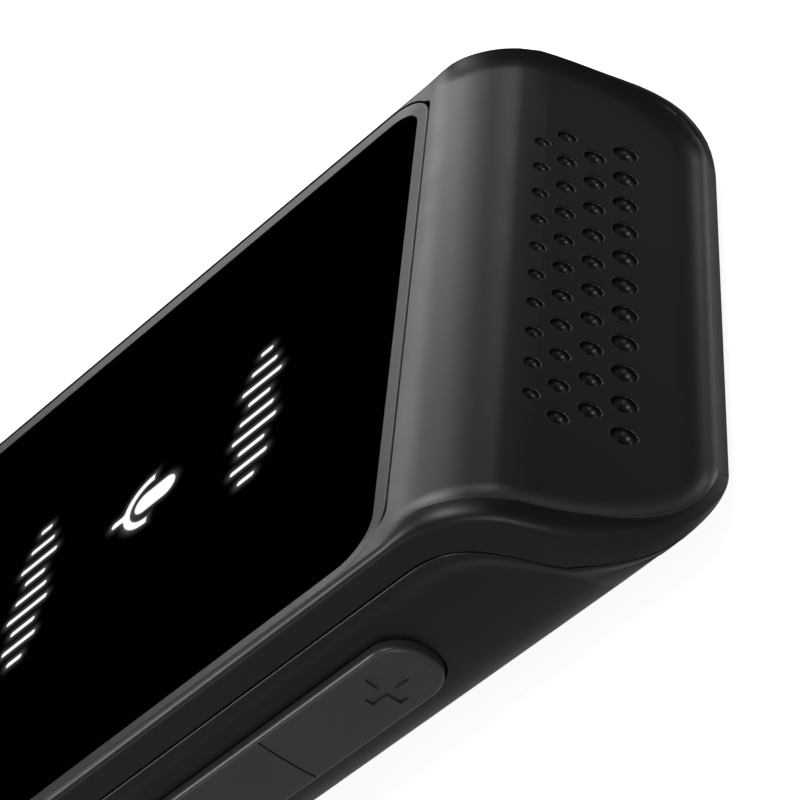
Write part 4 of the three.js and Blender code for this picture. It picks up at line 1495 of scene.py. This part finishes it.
@dataclass
class Key:
    """A key cap with a rounded edge, its flange and stems, and its room in the rear housing."""

    form: HousingForm
    plan: KeyPlan
    material: bpy.types.Material
    sizes: KeySizes = KeySizes()
    corner_steps: int = 12
    edge_steps: int = 6

    def __post_init__(self) -> None:
        """Work out the key's place and spans."""
        self.y = self.form.glass_top - self.plan.from_top
        self.along = around(self.y, self.plan.length)
        self.up = around(self.sizes.centre, self.sizes.height)
        self.outside = self._on_side((self.sizes.flange_outer, OVERRUN * 2))

    def _on_side(self, x: Range) -> Range:
        """A range along X, put on the key's side of the body."""
        return x if self.plan.side is Side.RIGHT else (-x[1], -x[0])

    def _outline(self, inset: float) -> list[tuple[float, float]]:
        """The cap's rounded outline along Y and up Z.

        Args:
            inset: How far it is drawn in.

        Returns:
            The outline's points.
        """
        length = self.plan.length / 2 - inset
        height = self.sizes.height / 2 - inset
        radius = max(self.sizes.corner - inset, self.sizes.least_corner)
        upper = []
        for corner, sign in ((0, 1), (1, -1)):
            for share in shares(self.corner_steps):
                angle = (corner + share) * math.pi / 2
                upper.append((
                    sign * (length - radius) + radius * math.cos(angle),
                    height - radius + radius * math.sin(angle),
                ))
        return upper + [(y, -z) for y, z in reversed(upper)]

    def _ring(self, inset: float, lift: float | None = None) -> list[Point]:
        """A ring of the cap.

        Args:
            inset: How far its outline is drawn in.
            lift: Its height over the hull; without one it lies on the flange.

        Returns:
            The ring.
        """
        ring = []
        for along, up in self._outline(inset):
            z = self.sizes.centre + up
            x = self.sizes.flange_outer
            if lift is not None:
                x = self.form.half_at(z, 0) + self.form.step_depth + lift
            ring.append((x * self.plan.side.value, self.y + along, z))
        return ring

    def _cap(self, proud: float) -> bpy.types.Object:
        """Model the cap from its flange out to its face.

        Args:
            proud: The face's height over the hull.

        Returns:
            The cap.
        """
        edge = self.sizes.edge
        rings = [self._ring(0), self._ring(0, proud - edge)]
        for share in shares(self.edge_steps)[1:]:
            angle = share * math.pi / 2
            rings.append(self._ring(edge * (1 - math.cos(angle)), proud - edge * (1 - math.sin(angle))))
        rings += [self._ring(inset, proud) for inset in self.sizes.face_insets]
        return Workbench.skin(self.plan.name, rings)

    def _inner(self) -> list[bpy.types.Object]:
        """Model the flange behind the wall and the stems that reach the switches.

        Returns:
            The flange and the stems.
        """
        sizes = self.sizes
        inner = sizes.flange_outer - sizes.flange_thickness
        flange = self._on_side((inner, sizes.flange_outer + OVERLAP))
        reach = self._on_side((inner - sizes.stem_length, inner + OVERLAP))
        pieces = [Workbench.block(
            "flange", flange, grown(self.along, sizes.flange_end), grown(self.up, sizes.flange_side)
        )]
        for stem in self.plan.stems:
            along, up = around(self.y + stem, sizes.stem_width), around(sizes.centre, sizes.stem_width)
            pieces.append(Workbench.block("stem", reach, along, up))
        return pieces

    def _marks(self) -> list[bpy.types.Object]:
        """Model the tools for the marks sunk into the face; a plain key has none."""
        return []

    def build(self) -> bpy.types.Object:
        """Model, mark and dress the key.

        Returns:
            The key.
        """
        cap = self._cap(self.sizes.proud)
        Workbench.cut(cap, self._inner(), "UNION")
        Workbench.cut(cap, self._marks())
        return finish_piece(cap, self.plan.body, self.material, self.plan.node)

    def room(self) -> list[bpy.types.Object]:
        """Model the tools for the key's opening and the pocket for its flange.

        Returns:
            The two tools.
        """
        sizes = self.sizes
        spans = self.outside, grown(self.along, sizes.gap), grown(self.up, sizes.gap)
        opening = Workbench.plate("key_opening", spans, sizes.corner + sizes.gap, axis=0)
        pocket = Workbench.block(
            "key_pocket",
            self._on_side((sizes.flange_outer - sizes.pocket_reach, sizes.pocket_x)),
            grown(self.along, sizes.flange_end + sizes.fit_gap),
            grown(self.up, sizes.flange_side + sizes.fit_gap),
        )
        return [opening, pocket]


@dataclass
class Rocker(Key):
    """The volume rocker, with a sunk plus, minus and dividing line."""

    symbol_size: float = 3.2
    symbol_stroke: float = 0.75
    symbol_depth: float = 0.15
    symbol_from_end: float = 3.65
    split_width: float = 0.16
    split_margin: float = 0.3

    def _marks(self) -> list[bpy.types.Object]:
        """Model the tools for the plus, the minus and the dividing line.

        Returns:
            The tools.
        """
        centre = self.sizes.centre
        reach = self.plan.length / 2 - self.symbol_from_end
        plus, minus = self.y + reach, self.y - reach
        stroke = around(centre, self.symbol_stroke)
        strokes = [
            (around(plus, self.symbol_stroke), around(centre, self.symbol_size)),
            (around(plus, self.symbol_size), stroke),
            (around(minus, self.symbol_size), stroke),
            (around(self.y, self.split_width), grown(self.up, -self.split_margin)),
        ]
        tools = []
        for along, up in strokes:
            tool = Workbench.block("mark", self.outside, along, up)
            Workbench.cut(tool, [self._cap(self.sizes.proud - self.symbol_depth)])
            tools.append(tool)
        return tools


@dataclass
class BackShell:
    """Rear housing: the tapered hull with the openings for keys, port, camera and microphones."""

    form: HousingForm
    keys: Sequence[Key]
    material: bpy.types.Material
    hull_steps: int = 9
    step_rows: int = 8
    seam_steps: int = 3
    seam_round: float = 0.16
    port_width: float = 8.94
    port_height: float = 3.26
    port_centre: float = 8.2
    port_gap: float = 0.15
    window_radius: float = 5.1
    window_floor: float = 0.95
    window_sides: int = 96
    camera_hole: float = 3.6
    camera_sides: int = 64
    lamp_radius: float = 1.6
    mic_radius: float = 0.6
    hole_depth: float = 6.0
    detail_offset: float = 9.0
    lower_mic_x: float = 9.5
    post_radius: float = 2.0
    post_x: float = 11.0

    def build(self) -> bpy.types.Object:
        """Model, cut and dress the shell.

        Returns:
            The shell.
        """
        form = self.form
        heights = form.hull_rows(0, self.hull_steps)
        rings = [form.ring(self._hull, z / heights[-1]) for z in heights]
        rings += [form.ring(self._stepped, share) for share in shares(self.step_rows)[1:]]
        rings += [form.ring(self._edge, share * math.pi / 2) for share in shares(self.seam_steps)]
        shell = Workbench.skin("rear_housing", rings)
        Workbench.cut(shell, [form.hull_inside("cavity", form.wall)])
        for key in self.keys:
            Workbench.cut(shell, key.room())
        Workbench.cut(shell, self._end_openings() + self._back_openings())
        Workbench.cut(shell, self._posts(), "UNION")
        return finish_piece(shell, Body.HOUSING, self.material, "back_shell")

    def _levels(self, station: Station) -> tuple[float, float, float]:
        """Heights of the shell's edge and of the small step in its wall.

        Args:
            station: The station.

        Returns:
            The heights of the edge, the step's top and the step's foot.
        """
        edge = self.form.seam(station) - self.form.seam_gap
        small = clamp(edge / self.form.step_fade)
        top = edge - self.form.step_band * small
        return edge, top, top - self.form.step_height * small

    def _hull(self, station: Station, share: float) -> Point:
        """A point below the small step, at a share of its height."""
        return self.form.hull_point(station, self._levels(station)[2] * share, 0, 0)

    def _stepped(self, station: Station, share: float) -> Point:
        """A point across the small step, at a share of its height."""
        _, top, foot = self._levels(station)
        return self.form.hull_point(station, mix(foot, top, share), smooth(share), 0)

    def _edge(self, station: Station, angle: float) -> Point:
        """A point of the small round along the seam, at an angle round it."""
        z = self._levels(station)[0] - self.seam_round * (1 - math.sin(angle))
        return self.form.hull_point(station, z, 1, self.seam_round * (1 - math.cos(angle)))

    def _end_openings(self) -> list[bpy.types.Object]:
        """Model the tools for the charging port and the lower microphone's hole.

        Returns:
            The two tools.
        """
        length = (-self.form.half_length - OVERRUN, 0)
        mic_height = middle(node_spans("lower_microphone")[2])
        port_size, mic_size = (self.port_width, self.port_height), (self.mic_radius * 2,) * 2
        openings = (
            ("port_opening", 0, self.port_centre, port_size, self.port_gap),
            ("mic_opening", -self.lower_mic_x, mic_height, mic_size, 0),
        )
        tools = []
        for name, x, z, size, gap in openings:
            width, height = (value + 2 * gap for value in size)
            spans = around(x, width), length, around(z, height)
            tools.append(Workbench.plate(name, spans, height / 2 - HAIR, axis=1))
        return tools

    def _back_openings(self) -> list[bpy.types.Object]:
        """Model the tools for the camera, lamp and microphone openings in the back.

        Returns:
            The four tools.
        """
        y, depth = middle(node_spans("camera_window")[1]), self.hole_depth
        seat = (0, y, self.window_floor - OVERRUN / 2)
        return [
            Workbench.rod("window_seat", self.window_radius, seat, OVERRUN, self.window_sides),
            Workbench.rod("camera_opening", self.camera_hole, (0, y, 0), depth, self.camera_sides),
            Workbench.rod("lamp_opening", self.lamp_radius, (self.detail_offset, y, 0), depth),
            Workbench.rod("upper_mic_opening", self.mic_radius, (-self.detail_offset, y, 0), depth),
        ]

    def _posts(self) -> list[bpy.types.Object]:
        """Model the posts under the port's board.

        Returns:
            The two posts.
        """
        _, (y, _), (top, _) = node_spans("port_board")
        start = self.form.wall / 2
        return [
            Workbench.rod("post", self.post_radius, (x, y + self.post_radius, (start + top) / 2), top - start)
            for x in (-self.post_x, self.post_x)
        ]


@dataclass
class Screen:
    """The cover glass and the narrow strip that rises round it."""

    form: HousingForm
    glass: bpy.types.Material
    rim: bpy.types.Material
    rim_rise: float = 0.15
    rim_tilt: float = 0.12
    rim_depth: float = 1.4
    rim_round: float = 0.16
    rim_round_steps: int = 5
    edge_gap: float = 0.05
    seat_gap: float = 0.03
    ledge: float = 1.0
    glass_thickness: float = 0.8
    glass_corner: float = 3.0
    glass_round: float = 0.06
    glass_round_steps: int = 3
    display_corner: float = 1.5
    corner_steps: int = 14

    def _plate(self, name: str, border: float, z: Range, radius: float) -> bpy.types.Object:
        """Model a plate with the glass's outline.

        Args:
            name: The plate's name.
            border: How far it reaches past the glass.
            z: Its span along Z.
            radius: Its corners' radius.

        Returns:
            The plate.
        """
        form = self.form
        width = grown((-form.glass_half, form.glass_half), border)
        length = grown((form.glass_low, form.glass_top), border)
        return Workbench.plate(name, (width, length, z), radius, steps=self.corner_steps)

    def build_glass(self) -> bpy.types.Object:
        """Model and dress the cover glass.

        Returns:
            The glass.
        """
        top = self.form.glass_height
        glass = self._plate("screen_glass", 0, (top - self.glass_thickness, top), self.glass_corner)
        Workbench.bevel_edges(glass, edges_from(2, top), self.glass_round, self.glass_round_steps)
        return finish_piece(glass, Body.HOUSING, self.glass, "cover_glass")

    def build_rim(self) -> bpy.types.Object:
        """Model and dress the strip.

        Returns:
            The strip.
        """
        form = self.form
        top = form.glass_height + self.rim_rise
        bottom = form.glass_height - self.rim_depth
        border = form.rim_width + form.loose_gap - self.seat_gap
        strip = self._plate("screen_strip", border, (bottom, top), self.glass_corner + border)
        pocket_floor = form.glass_height - self.glass_thickness
        Workbench.cut(strip, [
            self._plate("pocket", self.edge_gap, (pocket_floor, OVERRUN * 2), self.glass_corner),
            self._plate("ledge", -self.ledge, (-OVERRUN, OVERRUN * 2), self.display_corner),
        ])
        self._tilt(strip, top)
        Workbench.bevel_edges(strip, edges_from(2, top), self.rim_round, self.rim_round_steps)
        return finish_piece(strip, Body.HOUSING, self.rim, "screen_rim")

    def _tilt(self, strip: bpy.types.Object, top: float) -> None:
        """Lower the inner edge of the strip's top face.

        Args:
            strip: The strip.
            top: The height of its top face.
        """
        form, corner = self.form, self.glass_corner
        Workbench.edit(strip, "VERT", False)
        bpy.ops.object.mode_set(mode="OBJECT")
        centre = middle((form.glass_low, form.glass_top))
        half_length = (form.glass_top - form.glass_low) / 2
        for point in strip.data.vertices:
            x, y, z = (value / MM for value in point.co)
            across = max(abs(x) - (form.glass_half - corner), 0)
            along = max(abs(y - centre) - (half_length - corner), 0)
            point.select = z > top - NEAR and math.hypot(across, along) < corner + form.rim_width / 2
        bpy.ops.object.mode_set(mode="EDIT")
        bpy.ops.transform.translate(value=(0, 0, -self.rim_tilt * MM))
        bpy.ops.object.mode_set(mode="OBJECT")


@dataclass
class BackDetails:
    """The camera's window, the lamp's lens and the charging port's shell."""

    window: bpy.types.Material
    lens: bpy.types.Material
    steel: bpy.types.Material
    window_sides: int = 96
    window_edge: float = 0.12
    window_edge_steps: int = 4
    lamp_base: float = 3.0
    lens_radius: float = 1.5
    lens_sides: int = 64
    lens_edge: float = 0.4
    lens_edge_steps: int = 6
    port_wall: float = 0.3
    port_back: float = 1.0
    port_steps: int = 14
    tongue_width: float = 6.7
    tongue_thickness: float = 0.7
    tongue_gap: float = 1.2
    tongue_edge: float = 0.12
    tongue_edge_steps: int = 3

    def build_window(self) -> bpy.types.Object:
        """Model and dress the camera's window.

        Returns:
            The window.
        """
        x, y, z = node_spans("camera_window")
        centre = (middle(x), middle(y), middle(z))
        window = Workbench.rod("camera_glass", (x[1] - x[0]) / 2, centre, z[1] - z[0], self.window_sides)
        Workbench.bevel_edges(window, edges_up_to(2, z[0]), self.window_edge, self.window_edge_steps)
        return finish_piece(window, Body.HOUSING, self.window, "camera_window")

    def build_lamp(self) -> bpy.types.Object:
        """Model and dress the lamp: a square base and a round lens.

        Returns:
            The lamp.
        """
        x, y, z = node_spans("flash_lamp")
        lamp = Workbench.block("lamp_base", x, y, (z[1] - self.lamp_base, z[1]))
        centre = (middle(x), middle(y), middle(z) - self.lamp_base / 4)
        depth = z[1] - z[0] - self.lamp_base / 2
        lens = Workbench.rod("lamp_lens", self.lens_radius, centre, depth, self.lens_sides)
        Workbench.bevel_edges(lens, edges_up_to(2, z[0]), self.lens_edge, self.lens_edge_steps)
        Workbench.cut(lamp, [lens], "UNION")
        return finish_piece(lamp, Body.HOUSING, self.lens, "flash_lamp")

    def build_port(self) -> bpy.types.Object:
        """Model and dress the charging port's steel shell and tongue.

        Returns:
            The port.
        """
        x, y, z = node_spans("charging_port")
        radius = (z[1] - z[0]) / 2 - HAIR
        port = Workbench.plate("charging_inlet", (x, y, z), radius, axis=1, steps=self.port_steps)
        mouth = (y[0] - OVERRUN, y[1] - self.port_back)
        spans = grown(x, -self.port_wall), mouth, grown(z, -self.port_wall)
        inner = Workbench.plate("inlet_room", spans, radius - self.port_wall, axis=1, steps=self.port_steps)
        Workbench.cut(port, [inner])
        tip = y[0] + self.tongue_gap
        tongue = Workbench.block(
            "tongue",
            around(0, self.tongue_width),
            (tip, y[1] - self.port_back / 2),
            around(middle(z), self.tongue_thickness),
        )
        Workbench.bevel_edges(tongue, edges_up_to(1, tip), self.tongue_edge, self.tongue_edge_steps)
        Workbench.cut(port, [tongue], "UNION")
        return finish_piece(port, Body.HOUSING, self.steel, "charging_port")


@dataclass(frozen=True)
class Interior:
    """Finishes for the pieces inside, which keep their own shapes."""

    finishes: tuple[tuple[Finish, tuple[str, ...]], ...] = (
        (
            Metal("shield_steel", (0.55, 0.55, 0.56)),
            ("processor_shield", "radio_shield", "lower_microphone", "upper_microphone"),
        ),
        (
            Metal("screw_steel", (0.32, 0.32, 0.33), roughness=0.38),
            (*(f"frame_screw_{i}" for i in range(1, 6)), *(f"board_screw_{i}" for i in range(1, 4))),
        ),
        (CircuitBoard(), ("main_board", "volume_switch_board", "side_switch_board", "port_board")),
        (Foam("black_foam", (0.012, 0.012, 0.012)), ("battery_pad", "speaker_gasket")),
        (
            Plastic("part_plastic", (0.02, 0.02, 0.02), roughness=0.5),
            (
                "speaker", "camera_module", "volume_down_switch", "volume_up_switch", "power_switch",
                "talk_switch",
            ),
        ),
        (Plastic("frame_plastic", (0.07, 0.075, 0.08), roughness=0.55), ("mid_frame",)),
        (Plastic("battery_wrap", (0.03, 0.033, 0.04), roughness=0.5, grain=0.5), ("battery",)),
        (
            Plastic("ribbon_film", (0.25, 0.1, 0.015), roughness=0.4),
            ("display_flex", "port_flex", "antenna_strip"),
        ),
        (Metal("display_backing", (0.5, 0.5, 0.5), roughness=0.4), ("display_panel",)),
        (WovenMesh(), ("speaker_mesh",)),
    )

    def dress(self) -> None:
        """Give each piece inside its finish."""
        for finish, nodes in self.finishes:
            material = finish.material()
            for node in nodes:
                bpy.data.objects[node].material_slots[0].material = material
                log.info("%s: %s", node, finish.name)


@dataclass(frozen=True)
class Lamp:
    """A soft square light that looks at the object; angles in degrees, lengths in millimetres."""

    name: str
    azimuth: float
    height_angle: float
    size: float
    power: float
    distance: float = 600.0
    aim: Point = (0, 20, 10)

    def build(self) -> None:
        """Add the lamp."""
        Workbench.clear()
        turn, rise = math.radians(self.azimuth), math.radians(self.height_angle)
        away = Vector((math.cos(turn) * math.cos(rise), math.sin(turn) * math.cos(rise), math.sin(rise)))
        place = (Vector(self.aim) + away * self.distance) * MM
        facing = away.to_track_quat("Z", "Y").to_euler()
        bpy.ops.object.light_add(type="AREA", location=place, rotation=facing)
        lamp = bpy.context.object
        lamp.name = self.name
        lamp.data.shape = "SQUARE"
        lamp.data.size = self.size * MM
        lamp.data.energy = self.power


@dataclass(frozen=True)
class Studio:
    """Pale floor, white surroundings, soft lights and the camera; angles in degrees."""

    floor_half: float = 3000.0
    floor_tone: float = 0.8
    floor_grain: float = 40.0
    floor_drift: float = 0.99
    floor_light: float = 0.9
    floor_gloss: float = 0.32
    world_gloss: float = 0.1
    ambient: float = 0.096
    camera_place: Point = (170.273, 143.676, 89.736)
    camera_turn: Point = (57.906, 44.886, 95.023)
    lens: float = 136.235
    sensor: float = 36.0
    nearest: float = 10.0
    farthest: float = 20000.0
    lamps: tuple[Lamp, ...] = (
        Lamp("end_light", 158, 20, 130, 0.1),
        Lamp("far_light_1", 176, 30, 180, 0.13),
        Lamp("far_light_2", 190, 20, 160, 0.26),
        Lamp("far_light_3", 205, 28, 160, 0.22),
        Lamp("far_light_4", 245, 45, 160, 0.3),
        Lamp("upper_light", 180, 65, 280, 0.7),
        Lamp("near_light_1", 40, 62, 160, 0.85),
        Lamp("near_light_2", 302, 54, 240, 1.45),
        Lamp("low_light_1", 20, 8, 280, 0.6),
        Lamp("low_light_2", 330, 8, 280, 0.3),
    )

    def build(self) -> None:
        """Put up the floor, the surroundings, the lights and the camera."""
        self._floor()
        self._world()
        for lamp in self.lamps:
            lamp.build()
        self._camera()

    @staticmethod
    def _seen(tree: Tree, gloss: float) -> Value:
        """How bright the background is to a ray.

        Args:
            tree: The material's or world's tree.
            gloss: The share of its brightness that reflections show.

        Returns:
            One for camera and transmission rays, and the share for glossy rays.
        """
        path = tree.node("ShaderNodeLightPath")
        camera = tree.out(path, "Is Camera Ray")
        glossy = tree.out(path, "Is Glossy Ray")
        through = tree.out(path, "Is Transmission Ray")
        return tree.math("MINIMUM", camera + through + glossy * gloss, 1.0)

    def _floor(self) -> None:
        """Lay a pale floor that keeps the object's shadow."""
        Workbench.clear()
        bpy.ops.mesh.primitive_plane_add(size=2 * self.floor_half * MM, location=(0, 0, CAD_BOUNDS[0].z))
        floor = bpy.context.object
        floor.name = "floor"
        tree = Tree.of_material("pale_floor")
        low, high = (self.floor_tone * self.floor_drift,) * 3, (self.floor_tone,) * 3
        colour = tree.colour(tree.noise(self.floor_grain), low, high)
        matt = tree.out(tree.node("ShaderNodeBsdfDiffuse", inputs={"Color": colour}))
        light = self._seen(tree, 0.0) * self.floor_light
        glow = tree.out(tree.node("ShaderNodeEmission", inputs={"Strength": light}))
        both = tree.out(tree.node("ShaderNodeAddShader", inputs={0: matt, 1: glow}))
        mirrored = tree.out(tree.node("ShaderNodeEmission", inputs={"Strength": self.floor_gloss}))
        glossy = tree.out(tree.node("ShaderNodeLightPath"), "Is Glossy Ray")
        surface = tree.out(tree.node("ShaderNodeMixShader", inputs={0: glossy, 1: both, 2: mirrored}))
        tree.node("ShaderNodeOutputMaterial", inputs={"Surface": surface})
        floor.data.materials.append(tree.owner)

    def _world(self) -> None:
        """Set white surroundings for the camera, and a dim grey for the light that they give."""
        world = bpy.data.worlds.new("surroundings")
        bpy.context.scene.world = world
        tree = Tree(world)
        strength = tree.math("MAXIMUM", self._seen(tree, self.world_gloss), self.ambient)
        inputs = {"Color": (*WHITE, 1.0), "Strength": strength}
        back = tree.out(tree.node("ShaderNodeBackground", inputs=inputs))
        tree.node("ShaderNodeOutputWorld", inputs={"Surface": back})

    def _camera(self) -> None:
        """Put the camera at the photograph's viewing angle."""
        Workbench.clear()
        bpy.ops.object.camera_add(
            location=[value * MM for value in self.camera_place],
            rotation=[math.radians(value) for value in self.camera_turn],
        )
        camera = bpy.context.object
        camera.name = "camera"
        camera.data.lens = self.lens
        camera.data.sensor_width = self.sensor
        camera.data.clip_start = self.nearest * MM
        camera.data.clip_end = self.farthest * MM
        bpy.context.scene.camera = camera
        bpy.context.scene.view_settings.view_transform = "Standard"


def main() -> None:
    """Build the object's visible pieces, then the studio round it."""
    form = HousingForm()
    shell = Plastic("shell_plastic", (0.0035, 0.0035, 0.00355), roughness=0.35, specular=0.42).material()
    key_plastic = Plastic("key_plastic", (0.03, 0.03, 0.0304), roughness=0.34, specular=0.5).material()
    rim = Plastic("rim_plastic", (0.012, 0.012, 0.0122), roughness=0.36, specular=0.5).material()
    steel = Metal("inlet_steel", (0.42, 0.42, 0.43)).material()
    lens = Plastic(
        "lamp_lens", (0.75, 0.72, 0.55), roughness=0.25, specular=0.5, grain=0.4, grain_depth=0.01
    ).material()
    glass = ScreenGlass("screen_glass", ScreenPicture().marks(form.glass_top)).material()
    window = LensGlass("camera_glass", middle(node_spans("camera_window")[1])).material()
    rocker = KeyPlan(
        "volume_rocker_cap", "volume_key", Body.ROCKER, Side.RIGHT,
        from_top=15.1, length=25.2, stems=(-9.0, 9.0),
    )
    power = KeyPlan("power_cap", "power_key", Body.POWER, Side.LEFT, from_top=11.0, length=11.0)
    talk = KeyPlan("talk_cap", "talk_key", Body.TALK, Side.LEFT, from_top=34.0, length=22.0)
    keys = [Rocker(form, rocker, key_plastic), Key(form, power, key_plastic), Key(form, talk, key_plastic)]
    FrontShell(form, shell).build()
    BackShell(form, keys, shell).build()
    for key in keys:
        key.build()
    screen = Screen(form, glass, rim)
    screen.build_rim()
    screen.build_glass()
    details = BackDetails(window, lens, steel)
    details.build_window()
    details.build_lamp()
    details.build_port()
    Interior().dress()
    Studio().build()


if __name__ == "__main__":
    logging.basicConfig(level=logging.INFO, format="%(message)s")
    main()
